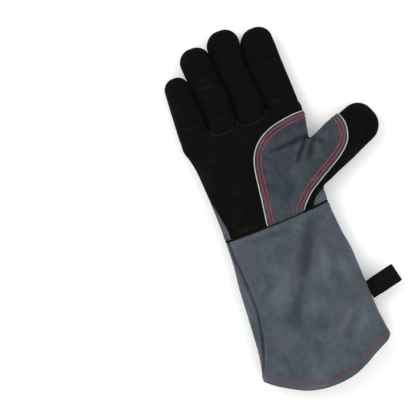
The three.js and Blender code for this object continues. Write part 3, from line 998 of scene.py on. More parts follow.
        # The wrist seam, the hem and the side seams.
        wrist = p[:, 1] - form.wrist_line(p[:, 0])
        in_cuff = wrist < 0
        total += 0.7 * bell(np.abs(wrist) - 4.5, 3.0) * facing - 1.1 * bell(wrist, 1.8)
        hem = p[:, 1] - form.hem_line(p[:, 0])
        total += 0.5 * bell(hem - 4, 4.0) - 0.7 * bell(hem - 7.6, 1.6)
        seam = np.where(in_cuff | (p[:, 1] > self.split_y) | self.is_thumb(p), p[:, 2] - self.seam_z,
                        self.hand_seam(p))
        wall = 1 - smooth((np.abs(n[:, 2]) - 0.75) / 0.2)
        total -= 0.55 * bell(seam, 1.1) * wall
        # The crotch of the thumb and the webs of the fingers.
        # These dips also darken the leather's colour as painted shade, through the relief that its finish
        # reads.
        total -= 1.8 * bell(np.hypot(p[:, 0] - form.crotch[0] - 1, p[:, 1] - form.crotch[1] + 8), 15) * facing
        web = np.zeros(len(p))
        for a, b in form.gaps(np.full(len(p), form.knuckle_y)):
            web += bell(p[:, 0] - (a + b) / 2, 4.5)
        total -= 1.3 * web * facing * smooth((p[:, 1] - form.knuckle_y + 22) / 14) * (
            p[:, 1] < form.knuckle_y + 6)
        # The leather's own unevenness, looser in the cuff.
        wide = lattice_noise(p, (34, 46, 60), 5) * 0.75 + lattice_noise(p, (17, 24, 30), 8) * 0.35
        fine = lattice_noise(p, (6.5, 8, 9), 3) * 0.16 + lattice_noise(p, (3.2, 3.6, 4), 4) * 0.07
        loose = np.where(in_cuff, 1.5, 0.8)
        total += (wide * loose + fine) * facing + 0.3 * fine * (1 - facing)
        # The back lies flat, so only what is sunk shows there.
        knuckle = bell(p[:, 1] - self.split_y, 1.5) * (p[:, 2] < self.seam_z)
        sunk = 0.45 * np.minimum(total - (wide * loose + fine) * facing, 0) + 0.2 * np.minimum(fine, 0)
        return total * (1 - under) + (sunk - 0.6 * knuckle) * under


# ---- Meshes ----------------------------------------------------------------------------------------
def new_object(name: str, points: Array, faces: Array, loop_normals: Optional[Array] = None,
               relief: Optional[Array] = None) -> bpy.types.Object:
    """A mesh object, smooth shaded.

    Args:
        name: its name.
        points: its points, in millimetres.
        faces: its faces, all of the same number of corners.
        loop_normals: the shading direction at each corner of each face.
        relief: a value for each point that its finish may use.

    Returns:
        The object.
    """
    mesh = bpy.data.meshes.new(name)
    corners = faces.shape[1]
    mesh.vertices.add(len(points))
    mesh.vertices.foreach_set("co", (points * MM).astype(np.float32).ravel())
    mesh.loops.add(faces.size)
    mesh.loops.foreach_set("vertex_index", faces.astype(np.int32).ravel())
    mesh.polygons.add(len(faces))
    mesh.polygons.foreach_set("loop_start", np.arange(0, faces.size, corners, dtype=np.int32))
    mesh.polygons.foreach_set("use_smooth", np.ones(len(faces), bool))
    if relief is not None:
        layer = mesh.attributes.new("relief", "FLOAT", "POINT")
        layer.data.foreach_set("value", relief.astype(np.float32))
    mesh.update(calc_edges=True)
    mesh.validate()
    if loop_normals is not None and len(mesh.loops) == len(loop_normals):
        mesh.normals_split_custom_set(loop_normals.tolist())
    made = bpy.data.objects.new(name, mesh)
    bpy.context.scene.collection.objects.link(made)
    return made


def leather_piece(name: str, sheet: Surface, outside: float, inside: float) -> bpy.types.Object:
    """A sheet of material with thickness and square-cut edges.

    Args:
        name: its name.
        sheet: the surface that it follows.
        outside: how far its outer face stands off the surface.
        inside: how far its inner face is, along the same direction.

    Returns:
        The piece.
    """
    count = len(sheet.points)
    outer = sheet.points + outside * sheet.normals
    inner = sheet.points + inside * sheet.normals
    f = sheet.faces
    both = np.vstack([f[:, [0, 1]], f[:, [1, 2]], f[:, [2, 0]]])
    _, first, times = np.unique(np.sort(both, axis=1), axis=0, return_index=True, return_counts=True)
    rim = both[first[times == 1]]
    rims = np.column_stack([rim[:, 1], rim[:, 0], rim[:, 0] + count, rim[:, 1] + count])
    faces = np.vstack([f, f[:, ::-1] + count, rims[:, [0, 1, 2]], rims[:, [0, 2, 3]]])
    points = np.vstack([outer, inner])
    a, b, c, d = (points[rims[:, i]] for i in range(4))
    rim_normals = np.repeat(unit(np.cross(c - a, d - b)), 3, axis=0)
    loops = np.vstack([
        sheet.normals[f].reshape(-1, 3), -sheet.normals[f[:, ::-1]].reshape(-1, 3), rim_normals, rim_normals])
    relief = np.concatenate([sheet.relief, sheet.relief]) if len(sheet.relief) else None
    return new_object(name, points, faces, loops, relief)


def lofted(rings: int, sides: int, base: int = 0, closed: bool = False) -> list[tuple[int, ...]]:
    """The faces between rings of points.

    Args:
        rings: the number of rings.
        sides: the number of points in each.
        base: the number of the first point.
        closed: whether the last ring joins the first.

    Returns:
        The faces.
    """
    faces = []
    for i in range(rings if closed else rings - 1):
        a, b = base + i * sides, base + (i + 1) % rings * sides
        for k in range(sides):
            n = (k + 1) % sides
            faces.append((a + k, a + n, b + n, b + k))
    return faces


def tube(name: str, path: Array, up: Array, wide: float, high: float, closed: bool = False,
         sides: int = 8, rubbed: float = 0.0) -> bpy.types.Object:
    """A cord of oval section along a path.

    Args:
        name: its name.
        path: its middle line.
        up: the direction out of the leather at each point.
        wide: half of its width.
        high: half of its height.
        closed: whether it joins its own start.
        sides: corners of its section.
        rubbed: how proud it stands, which its finish shows as worn nap with a painted highlight.

    Returns:
        The cord.
    """
    count = len(path)
    if closed:
        along = np.roll(path, -1, axis=0) - np.roll(path, 1, axis=0)
    else:
        along = np.gradient(path, axis=0)
    along = unit(along)
    across = unit(np.cross(along, up))
    up = np.cross(across, along)
    angle = np.arange(sides) / sides * 2 * math.pi
    ring = (wide * np.cos(angle)[None, :, None] * across[:, None]
            + high * np.sin(angle)[None, :, None] * up[:, None])
    shrink = np.ones(count)
    if not closed:
        shrink[[0, -1]] = 0.55
    points = (path[:, None] + ring * shrink[:, None, None]).reshape(-1, 3)
    faces = lofted(count, sides, closed=closed)
    if not closed:
        points = np.vstack([points, path[0], path[-1]])
        for k in range(0, sides, 2):
            n, m = (k + 1) % sides, (k + 2) % sides
            faces.append((count * sides, m, n, k))
            last = (count - 1) * sides
            faces.append((count * sides + 1, last + k, last + n, last + m))
    return new_object(name, points, np.array(faces), None, np.full(len(points), rubbed))


def stitches(name: str, path: Array, up: Array, pitch: float = 3.6, length: float = 3.0,
             radius: float = 0.5) -> bpy.types.Object:
    """A row of separate stitches, each a short arc of thread that dips into the leather at its ends.

    Args:
        name: the row's name.
        path: the line that it follows.
        up: the direction out of the leather at each point.
        pitch: from one stitch to the next.
        length: of one stitch.
        radius: of the thread.

    Returns:
        The row, as one piece.
    """
    gaps = np.linalg.norm(np.diff(path, axis=0), axis=1)
    run = np.concatenate([[0], np.cumsum(gaps)])
    starts = np.arange(pitch / 2, run[-1] - pitch / 2, pitch)
    at = lambda s, table: np.column_stack([np.interp(s, run, table[:, i]) for i in range(3)])
    shares = np.array([-0.5, -0.36, -0.12, 0.12, 0.36, 0.5])
    rise = np.array([-0.55, 0.15, 0.5, 0.5, 0.15, -0.55]) * radius
    thick = np.array([0.55, 0.95, 1.0, 1.0, 0.95, 0.55]) * radius
    sides, rings = 6, len(shares)
    angle = np.arange(sides) / sides * 2 * math.pi
    points, faces = [], []
    for number, s in enumerate(starts):
        centre = at(s + shares * length, path)
        normal = unit(at(s + shares * length, up))
        across = np.cross(unit(np.gradient(centre, axis=0)), normal)
        ring = np.cos(angle)[None, :, None] * across[:, None] + np.sin(angle)[None, :, None] * normal[:, None]
        body = (centre + rise[:, None] * normal)[:, None] + ring * thick[:, None, None]
        base = number * (sides * rings)
        points.append(body.reshape(-1, 3))
        faces += lofted(rings, sides, base)
        last = base + (rings - 1) * sides
        for a, b, c, d in ((3, 2, 1, 0), (5, 4, 3, 0)):
            faces.append((base + a, base + b, base + c, base + d))
            faces.append((last + d, last + c, last + b, last + a))
    return new_object(name, np.vstack(points), np.array(faces))


class Skin:
    """The leather's outer face, for laying cords and stitches on it."""

    def __init__(self, sheet: Surface) -> None:
        """Args:
            sheet: the outer face.
        """
        self.tree = BVHTree.FromPolygons(sheet.points.tolist(), sheet.faces.tolist())

    def hit(self, start: Sequence[float], way: Sequence[float]) -> Optional[tuple[Array, Array]]:
        """Where a straight line meets the leather.

        Args:
            start: where the line starts.
            way: its direction.

        Returns:
            The point and the outward direction, or nothing.
        """
        place, normal, _, _ = self.tree.ray_cast(Vector(start), Vector(way))
        return None if place is None else (np.array(place), np.array(normal))

    def draped(self, line: Line, lift: float, tuck_z: Optional[float], spacing: float = 1.6
               ) -> tuple[Array, Array]:
        """A path on the leather under a curve in plan, which may run on down the side past the edge.

        Args:
            line: the curve.
            lift: how far the path stands off the leather.
            tuck_z: how low it goes on the side, or nothing where it stays on top.
            spacing: between its points.

        Returns:
            The path and its outward directions.
        """
        gaps = np.linalg.norm(np.diff(line.points, axis=0), axis=1)
        run = np.concatenate([[0], np.cumsum(gaps)])
        stations = np.arange(0, run[-1], spacing)
        plan = np.column_stack([np.interp(stations, run, line.points[:, i]) for i in range(2)])
        places, normals = [], []
        for i, (x, y) in enumerate(plan):
            found = self.hit((x, y, 90), (0, 0, -1))
            if tuck_z is None:
                if found is not None and found[1][2] > 0.3:
                    places.append(found[0])
                    normals.append(found[1])
                continue
            if found is None or found[1][2] < 0.35 and places:
                way = plan[i] - plan[i - 1]
                way = np.array([way[0], way[1], 0]) / np.linalg.norm(way)
                top = places[-1][2] if places else tuck_z
                for z in np.arange(top - spacing, tuck_z, -spacing):
                    side = self.hit(np.array([plan[i - 1][0], plan[i - 1][1], z]) + 30 * way, -way)
                    if side is not None:
                        places.append(side[0])
                        normals.append(side[1])
                break
            places.append(found[0])
            normals.append(found[1])
        path, up = np.array(places), np.array(normals)
        for _ in range(3):
            up[1:-1] = (up[:-2] + 2 * up[1:-1] + up[2:]) / 4
            path[1:-1] = (path[:-2] + 2 * path[1:-1] + path[2:]) / 4
        up = unit(up)
        return path + lift * up, up

    def ring(self, line: Callable[[float], float], middle: float, half: float, lift: float,
             count: int = 180) -> tuple[Array, Array]:
        """A closed path round the hand or the cuff.

        Args:
            line: the Y of the path at an X.
            middle: the tube's middle across.
            half: half of its width.
            lift: how far the path stands off the leather.
            count: its number of points.

        Returns:
            The path and its outward directions.
        """
        places, normals = [], []
        for angle in np.arange(count) / count * 2 * math.pi:
            c, s = math.cos(angle), math.sin(angle)
            x = middle + half * c
            for _ in range(3):
                start = (middle + 0.72 * half * c, line(x), 15.0)
                found = self.hit(start, Vector((0.28 * half * c, 0, 15 * s)).normalized())
                if found is None:
                    break
                x = found[0][0]
            if found is not None:
                places.append(found[0])
                normals.append(found[1])
        path, up = np.array(places), np.array(normals)
        for _ in range(2):
            up = (np.roll(up, 1, 0) + 2 * up + np.roll(up, -1, 0)) / 4
            path = (np.roll(path, 1, 0) + 2 * path + np.roll(path, -1, 0)) / 4
        up = unit(up)
        return path + lift * up, up


# ---- Finishes --------------------------------------------------------------------------------------
Colour = tuple[float, float, float]


class Nodes:
    """A node tree that is being wired."""

    def __init__(self, tree: bpy.types.NodeTree) -> None:
        """Args:
            tree: the tree.
        """
        self.tree = tree

    def add(self, kind: str, inputs: Optional[dict] = None, **settings: object) -> bpy.types.Node:
        """Adds a node.

        Args:
            kind: its type.
            inputs: values or output sockets for its inputs, by name or number.
            settings: its own properties.

        Returns:
            The node.
        """
        node = self.tree.nodes.new(kind)
        for key, value in settings.items():
            setattr(node, key, value)
        for key, value in (inputs or {}).items():
            if isinstance(value, bpy.types.NodeSocket):
                self.tree.links.new(value, node.inputs[key])
            else:
                node.inputs[key].default_value = value
        return node

    def link(self, value: bpy.types.NodeSocket, node: bpy.types.Node, key: str) -> None:
        """Wires a value to a node's input."""
        self.tree.links.new(value, node.inputs[key])

    def mix(self, share: object, a: object, b: object) -> bpy.types.NodeSocket:
        """A colour between two colours.

        Args:
            share: how much of the second.
            a: the first colour.
            b: the second colour.

        Returns:
            The colour's socket.
        """
        node = self.tree.nodes.new("ShaderNodeMix")
        node.data_type = "RGBA"
        for key, value in ((0, share), (6, a), (7, b)):
            if isinstance(value, bpy.types.NodeSocket):
                self.tree.links.new(value, node.inputs[key])
            else:
                node.inputs[key].default_value = (*value, 1) if isinstance(value, tuple) else value
        return node.outputs[2]

    def ramp(self, value: object, low: float, high: float, to_low: float = 0.0,
             to_high: float = 1.0) -> bpy.types.NodeSocket:
        """A value spread from one range to another."""
        inputs = {0: value, 1: low, 2: high, 3: to_low, 4: to_high}
        return self.add("ShaderNodeMapRange", inputs, clamp=True).outputs[0]

    def math(self, operation: str, a: object, b: object) -> bpy.types.NodeSocket:
        """Two values put together."""
        return self.add("ShaderNodeMath", {0: a, 1: b}, operation=operation).outputs[0]

    def noise(self, vector: object, scale: object, detail: float = 4, rough: float = 0.55
              ) -> bpy.types.NodeSocket:
        """Noise between 0 and 1."""
        inputs = {"Vector": vector, "Scale": scale, "Detail": detail, "Roughness": rough}
        return self.add("ShaderNodeTexNoise", inputs).outputs["Fac"]


def new_group(name: str, inputs: dict[str, str], outputs: dict[str, str]
              ) -> tuple[bpy.types.NodeTree, Nodes, bpy.types.Node, bpy.types.Node]:
    """An empty shader node group.

    Args:
        name: its name.
        inputs: names of its inputs, with their socket types.
        outputs: names of its outputs, with their socket types.

    Returns:
        The group, its wiring, and its input and output nodes.
    """
    group = bpy.data.node_groups.new(name, "ShaderNodeTree")
    for key, kind in inputs.items():
        group.interface.new_socket(name=key, in_out="INPUT", socket_type=kind)
    for key, kind in outputs.items():
        group.interface.new_socket(name=key, in_out="OUTPUT", socket_type=kind)
    nodes = Nodes(group)
    return group, nodes, nodes.add("NodeGroupInput"), nodes.add("NodeGroupOutput")


FLOAT, VECTOR, COLOUR = "NodeSocketFloat", "NodeSocketVector", "NodeSocketColor"


def nap_group() -> bpy.types.NodeTree:
    """The nap of split leather: soft clouds of tone, brushed streaks and the fibres' height.

    Returns:
        The group.
    """
    group, nodes, start, end = new_group(
        "Nap", {"Vector": VECTOR, "Cloud Scale": FLOAT, "Fibre Scale": FLOAT},
        {"Clouds": FLOAT, "Streaks": FLOAT, "Fibres": FLOAT, "Drift": FLOAT})
    vector, cloud, fibre = (start.outputs[key] for key in ("Vector", "Cloud Scale", "Fibre Scale"))
    times = lambda a, b: nodes.math("MULTIPLY", a, b)
    wide = nodes.noise(vector, cloud, 5, 0.6)
    close = nodes.noise(vector, times(cloud, 5.0), 4, 0.65)
    clouds = nodes.math("ADD", times(wide, 0.65), times(close, 0.35))
    turned = nodes.add(
        "ShaderNodeMapping", {"Vector": vector, "Rotation": (0, 0, 0.5), "Scale": (1, 0.22, 1)})
    streaks = nodes.noise(turned.outputs[0], times(cloud, 9.0), 3)
    fibres = nodes.noise(vector, fibre, 3, 0.7)
    grain = nodes.noise(vector, times(fibre, 0.28), 3, 0.6)
    height = nodes.math("ADD", times(fibres, 0.5), times(grain, 0.5))
    moved = nodes.add("ShaderNodeMapping", {"Vector": vector, "Location": (0.31, 0.17, 0.0)})
    drift = nodes.noise(moved.outputs[0], times(cloud, 0.8), 5, 0.65)
    for key, value in (("Clouds", clouds), ("Streaks", streaks), ("Fibres", height), ("Drift", drift)):
        nodes.link(value, end, key)
    return group


def wear_and_painted_light_group() -> bpy.types.NodeTree:
    """Paler where the leather stands proud, as worn nap with a painted highlight, and darker down in its
    folds and seams, as painted shade.

    Returns:
        The group.
    """
    group, nodes, start, end = new_group(
        "Wear", {"Colour": COLOUR, "Relief": FLOAT, "Rubbed": COLOUR, "Amount": FLOAT}, {"Colour": COLOUR})
    # Proud places go towards the paler colour: worn nap with a painted highlight.
    proud = nodes.math("MULTIPLY", nodes.ramp(start.outputs["Relief"], 0.3, 1.8), start.outputs["Amount"])
    # Sunk places in folds, seams and hollows go towards near black: painted shade.
    sunk = nodes.math("MULTIPLY", nodes.ramp(start.outputs["Relief"], -0.3, -1.6), 0.55)
    rubbed = nodes.mix(proud, start.outputs["Colour"], start.outputs["Rubbed"])
    with_painted_shade = nodes.mix(sunk, rubbed, (0.006, 0.007, 0.008))
    nodes.link(with_painted_shade, end, "Colour")
    return group


def twist_group() -> bpy.types.NodeTree:
    """The lay of a twisted thread.

    Returns:
        The group.
    """
    group, nodes, start, end = new_group("Twist", {"Vector": VECTOR, "Scale": FLOAT}, {"Strands": FLOAT})
    wave = nodes.add("ShaderNodeTexWave", {"Vector": start.outputs["Vector"], "Scale": start.outputs["Scale"],
                                           "Distortion": 2.0, "Detail": 2.0}, bands_direction="DIAGONAL")
    nodes.link(wave.outputs["Fac"], end, "Strands")
    return group


class Groups:
    """The effects that more than one finish uses, each built once."""

    def __init__(self) -> None:
        """Builds them."""
        self.nap = nap_group()
        self.wear = wear_and_painted_light_group()
        self.twist = twist_group()


@dataclass(frozen=True)
class Leather:
    """Split leather with a nap."""

    slot: str
    name: str
    dark: Colour
    light: Colour
    # Colour of the fibres' pale specks, and of proud places, which it lightens as worn nap with a painted
    # highlight.
    rubbed: Colour
    cloud_scale: float
    sheen: float
    roughness: float
    contrast: float
    # How far proud places go towards that colour, as worn nap with a painted highlight.
    wear: float
    specular: float = 0.25
    tint: Colour = (0.002, 0.002, 0.003)
    tint_share: float = 0.25
    fibre_scale: float = 1500.0

    def build(self, groups: Groups) -> bpy.types.Material:
        """The finish as a material.

        Args:
            groups: the shared effects.

        Returns:
            The material.
        """
        made, nodes, shader = blank_material(self.name)
        place = nodes.add("ShaderNodeTexCoord").outputs["Object"]
        scales = {"Vector": place, "Cloud Scale": self.cloud_scale, "Fibre Scale": self.fibre_scale}
        nap = nodes.add("ShaderNodeGroup", scales, node_tree=groups.nap)
        tone = nodes.ramp(nap.outputs["Clouds"], 0.5 - self.contrast, 0.5 + self.contrast)
        tone = nodes.math("ADD", nodes.math("MULTIPLY", tone, 0.75),
                          nodes.math("MULTIPLY", nap.outputs["Streaks"], 0.25))
        colour = nodes.mix(tone, self.dark, self.light)
        drift = nodes.ramp(nap.outputs["Drift"], 0.5, 0.5 + 1.2 * self.contrast, 0.0, self.tint_share)
        colour = nodes.mix(drift, colour, self.tint)
        speck = nodes.ramp(nap.outputs["Fibres"], 0.38, 0.62, -0.5, 0.5)
        speck = nodes.math("MULTIPLY", nodes.math("ABSOLUTE", speck, 0.0), 0.35)
        colour = nodes.mix(speck, colour, self.rubbed)
        # The relief lightens proud places, as worn nap with a painted highlight, and darkens sunk places
        # towards near black as painted shade.
        relief = nodes.add("ShaderNodeAttribute", attribute_name="relief").outputs["Fac"]
        wear_and_light_inputs = {"Colour": colour, "Relief": relief, "Rubbed": (*self.rubbed, 1), "Amount": self.wear}
        wear = nodes.add("ShaderNodeGroup", wear_and_light_inputs, node_tree=groups.wear)
        nodes.link(wear.outputs["Colour"], shader, "Base Color")
        rough = nodes.ramp(nap.outputs["Clouds"], 0.3, 0.7, self.roughness - 0.06, self.roughness + 0.06)
        nodes.link(rough, shader, "Roughness")
        bump = nodes.add("ShaderNodeBump", {"Height": nap.outputs["Fibres"], "Strength": 0.55,
                                            "Distance": 0.0006})
        nodes.link(bump.outputs[0], shader, "Normal")
        shader.inputs["Sheen Weight"].default_value = self.sheen
        shader.inputs["Sheen Roughness"].default_value = 0.45
        shader.inputs["Specular IOR Level"].default_value = self.specular
        return made


@dataclass(frozen=True)
class Cloth:
    """Brushed cotton, cord or thread."""

    slot: str
    name: str
    dark: Colour
    light: Colour
    scale: float
    bump: float
    roughness: float
    sheen: float
    twisted: bool = False

    def build(self, groups: Groups) -> bpy.types.Material:
        """The finish as a material.

        Args:
            groups: the shared effects.

        Returns:
            The material.
        """
        made, nodes, shader = blank_material(self.name)
        place = nodes.add("ShaderNodeTexCoord").outputs["Object"]
        if self.twisted:
            scales = {"Vector": place, "Scale": self.scale}
            height = nodes.add("ShaderNodeGroup", scales, node_tree=groups.twist).outputs["Strands"]
        else:
            scales = {"Vector": place, "Cloud Scale": self.scale / 12, "Fibre Scale": self.scale}
            height = nodes.add("ShaderNodeGroup", scales, node_tree=groups.nap).outputs["Fibres"]
        colour = nodes.mix(nodes.ramp(height, 0.25, 0.75), self.dark, self.light)
        nodes.link(colour, shader, "Base Color")
        bump = nodes.add("ShaderNodeBump", {"Height": height, "Strength": self.bump, "Distance": 0.0008})
        nodes.link(bump.outputs[0], shader, "Normal")
        shader.inputs["Roughness"].default_value = self.roughness
        shader.inputs["Sheen Weight"].default_value = self.sheen
        shader.inputs["Sheen Roughness"].default_value = 0.5
        shader.inputs["Specular IOR Level"].default_value = 0.25
        return made


def blank_material(name: str) -> tuple[bpy.types.Material, Nodes, bpy.types.Node]:
    """A new material with only its shader.

    Args:
        name: its name.

    Returns:
        The material, its wiring and its shader.
    """
    made = bpy.data.materials.new(name)
    made.use_nodes = True
    nodes = Nodes(made.node_tree)
    return made, nodes, made.node_tree.nodes["Principled BSDF"]


class Finish(Enum):
    """The glove's finishes."""

    # Each leather's pale colour for proud places stands for worn nap with a painted highlight.
    BLACK = Leather(
        slot="black_leather", name="black_suede",
        dark=(0.0012, 0.0012, 0.0010), light=(0.0030, 0.0029, 0.0025), rubbed=(0.024, 0.024, 0.022),
        cloud_scale=42.0, sheen=0.012, roughness=0.97, contrast=0.2, wear=0.5, specular=0.03)
    GREY = Leather(
        slot="grey_leather", name="grey_suede",
        dark=(0.028, 0.040, 0.053), light=(0.072, 0.089, 0.102), rubbed=(0.12, 0.142, 0.155),
        cloud_scale=30.0, sheen=0.06, roughness=0.9, contrast=0.12, wear=0.45, specular=0.15,
        tint=(0.058, 0.057, 0.074), tint_share=0.8)
    PATCH = Leather(
        slot="grey_leather", name="patch_suede",
        dark=(0.014, 0.021, 0.029), light=(0.047, 0.059, 0.068), rubbed=(0.09, 0.105, 0.118),
        cloud_scale=46.0, sheen=0.05, roughness=0.92, contrast=0.11, wear=0.5, specular=0.12,
        tint=(0.030, 0.030, 0.043), tint_share=0.8)
    COTTON = Cloth(
        slot="cotton_fleece", name="brushed_cotton", dark=(0.3, 0.29, 0.26), light=(0.56, 0.54, 0.49),
        scale=900.0, bump=0.8, roughness=0.95, sheen=0.3)
    PIPING = Cloth(
        slot="piping", name="pale_piping", dark=(0.34, 0.34, 0.33), light=(0.5, 0.5, 0.48),
        scale=1400.0, bump=0.25, roughness=0.6, sheen=0.05)
    THREAD = Cloth(
        slot="red_thread", name="twisted_thread", dark=(0.22, 0.02, 0.035), light=(0.42, 0.055, 0.085),
        scale=900.0, bump=0.5, roughness=0.65, sheen=0.1, twisted=True)
    STRAP = Leather(
        slot="strap", name="strap_leather",
        dark=(0.0016, 0.0014, 0.0012), light=(0.0042, 0.0036, 0.0032), rubbed=(0.02, 0.018, 0.016),
        cloud_scale=60.0, sheen=0.02, roughness=0.85, contrast=0.2, wear=0.4, specular=0.06)


# ---- The glove -------------------------------------------------------------------------------------
class Workshop:
    """Dresses each piece, and fixes each one without a bend to its body."""

    def __init__(self) -> None:
        """Builds the finishes."""
        groups = Groups()
        self.materials = {finish: finish.value.build(groups) for finish in Finish}

    def fit(self, piece: bpy.types.Object, finish: Finish, body: str, bend: Optional[tuple] = None,
            replaces: Sequence[str] = ()) -> bpy.types.Object:
        """Gives a piece its finish and fixes it to a body; a piece with a bend is not fixed to one, and only
        has its place baked into its points.

        Args:
            piece: the piece.
            finish: its finish.
            body: the body that it moves with, where it has no bend.
            bend: a second body and two points of a bend, or nothing; only whether it is given is used.
            replaces: the CAD nodes that it stands for.

        Returns:
            The piece.
        """
        piece.data.materials.append(self.materials[finish])
        if bend is None:
            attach(piece, body)
        else:
            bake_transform(piece)
        if replaces:
            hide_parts(*replaces)
        size = tuple(round(v / MM, 1) for v in piece.dimensions)
        log.info("%s: %s on %s, %d faces, %s mm", piece.name, finish.value.slot, body,
                 len(piece.data.polygons), size)
        return piece


@dataclass
class Shell:
    """The leather shell and the lining, cut into the panels of the glove."""

    form: GloveForm
    seams: Seams
    shop: Workshop
    leather: float = 1.5
    patch_lift: float = 1.5
    patch_bed: float = 0.12  # the patch's under face, over the leather below it
    lining_inset: float = 1.9
    lining: float = 2.0
    lining_step: float = 2.6
    # How far before and past each joint the two points of each bend lie.
    wrist_bend: tuple[float, float] = (15.0, 11.0)
    knuckle_bend: tuple[float, float] = (7.0, 13.0)
    crotch_bend: tuple[float, float] = (1.0, 23.0)
    tip_bend: float = 10.0
    thumb_tip_bend: float = 11.0

    def bend(self, body: str) -> tuple[str, Optional[tuple]]:
        """The body that the leather of a body starts on, and its bend into itself, as a second body and two
        points.

        Args:
            body: the body.

        Returns:
            The body that it starts on, and the second body with the bend's two points.
        """
        form = self.form
        if body == "hand":
            return "hand", None
        if body == "cuff":
            y, (before, past) = joint_place("wrist_flex")[1], self.wrist_bend
            return "cuff", ("hand", (0, y - before, 0), (0, y + past, 0))
        if body == "thumb":
            (x, y), (before, past) = form.crotch, self.crotch_bend
            return "hand", ("thumb", (x - before, y, 0), (x + past, y - 1.7, 0))
        if body == "thumb_tip":
            x, y = joint_place("thumb_tip_flex")[:2]
            dx, dy = self.thumb_tip_bend * form.thumb_along
            return "thumb", ("thumb_tip", (x - dx, y - dy, 0), (x + dx, y + dy, 0))
        finger = next(f for f in form.fingers if body.startswith(f.name))
        if body.endswith("_tip"):
            y, reach = finger.mid_y, self.tip_bend
            return finger.name, (body, (0, y - reach, 0), (0, y + reach, 0))
        y, (before, past) = finger.start_y, self.knuckle_bend
        return "hand", (finger.name, (0, y - before, 0), (0, y + past, 0))

    def build(self) -> Skin:
        """Makes every leather panel, the patch and the lining.

        Returns:
            The outer face, for the trims.
        """
        skin = self.form.surface(0.0, self.form.step)
        self.seams.cut(skin)
        skin.split()
        centres = skin.centres()
        keep = centres[:, 1] > self.form.hem_line(centres[:, 0]) + 0.5
        skin, centres = skin.part(keep), centres[keep]
        bodies = self.seams.bodies(centres)
        sides = self.seams.sides(centres, bodies)
        skin.relief = self.seams.relief(skin.points, skin.normals)
        skin.points[:, 0] += self.form.bow(skin.points)
        skin.points = skin.points + skin.relief[:, None] * skin.normals
        skin.find_normals()
        options = list(Side)
        for body in sorted(set(bodies)):
            for number in sorted(set(sides[bodies == body])):
                self._panel(skin.part((bodies == body) & (sides == number)), body, options[number])
        self._patch(skin, centres, bodies)
        self._lining()
        return Skin(skin)

    def _panel(self, sheet: Surface, body: str, side: Side) -> None:
        """Makes one leather panel.

        Args:
            sheet: its outer face.
            body: its body.
            side: its side.
        """
        names = {"hand": {Side.FRONT: "palm_panel", Side.BACK: "back_panel"},
                 "cuff": {Side.FRONT: "cuff_front_panel", Side.BACK: "cuff_back_panel"}}
        node = names.get(body, {}).get(side, f"{body}_{side.value}")
        grey = body == "cuff" or node == "back_panel"
        crease = {"cuff": "wrist_crease", "thumb": "thumb_root_crease", "thumb_tip": "thumb_mid_crease"}
        folds = crease.get(body)
        if folds is None and body != "hand":
            folds = f"{body[:-4]}_mid_crease" if body.endswith("_tip") else f"{body}_knuckle_crease"
        replaced = [node] + ([folds] if folds and side is Side.FRONT else [])
        start, bend = self.bend(body)
        piece = leather_piece(f"leather_{node}", sheet, 0.0, -self.leather)
        self.shop.fit(piece, Finish.GREY if grey else Finish.BLACK, start, bend, replaced)

    def _patch(self, skin: Surface, centres: Array, bodies: Array) -> None:
        """Makes the patch over the ball of the thumb, in its part on the hand and its part on the thumb.

        Args:
            skin: the leather's outer face.
            centres: the middles of its faces, before its relief.
            bodies: their bodies.
        """
        raised = (self.seams.patch(centres) > 0) & (centres[:, 2] > self.seams.seam_z + 0.2)
        raised &= centres[:, 1] > self.form.wrist_line(centres[:, 0])
        for body, label in (("hand", "palm"), ("thumb", "thumb")):
            here = raised & (np.isin(bodies, ["thumb", "thumb_tip"]) if body == "thumb" else bodies == body)
            start, bend = self.bend(body)
            piece = leather_piece(f"patch_{label}", skin.part(here), self.patch_lift, self.patch_bed)
            self.shop.fit(piece, Finish.PATCH, start, bend, [f"{label}_patch"])

    def _lining(self) -> None:
        """Makes the cotton lining of the cuff, hand, fingers and thumb."""
        form, seams = self.form, self.seams
        inner = form.surface(self.lining_inset, self.lining_step)
        inner.snap(lambda p: p[:, 1] - form.hem_line(p[:, 0]) - 4)
        inner.split()
        centres = inner.centres()
        keep = centres[:, 1] > form.hem_line(centres[:, 0]) + 4.0
        inner, centres = inner.part(keep), centres[keep]
        wave = lattice_noise(inner.points, (9, 12, 12), 6) * 0.35
        follow = np.minimum(seams.relief(inner.points, inner.normals), 1.0) - np.abs(wave)
        inner.relief = wave
        inner.points[:, 0] += form.bow(inner.points)
        inner.points = inner.points + follow[:, None] * inner.normals
        inner.find_normals()
        bodies = seams.bodies(centres)
        for body in sorted(set(bodies)):
            start, bend = self.bend(body)
            node = f"{body}_lining"
            known = node in frame["nodes"]
            piece = leather_piece(f"cotton_{node}", inner.part(bodies == body), -0.1, -self.lining)
            self.shop.fit(piece, Finish.COTTON, start, bend, [node] if known else [])


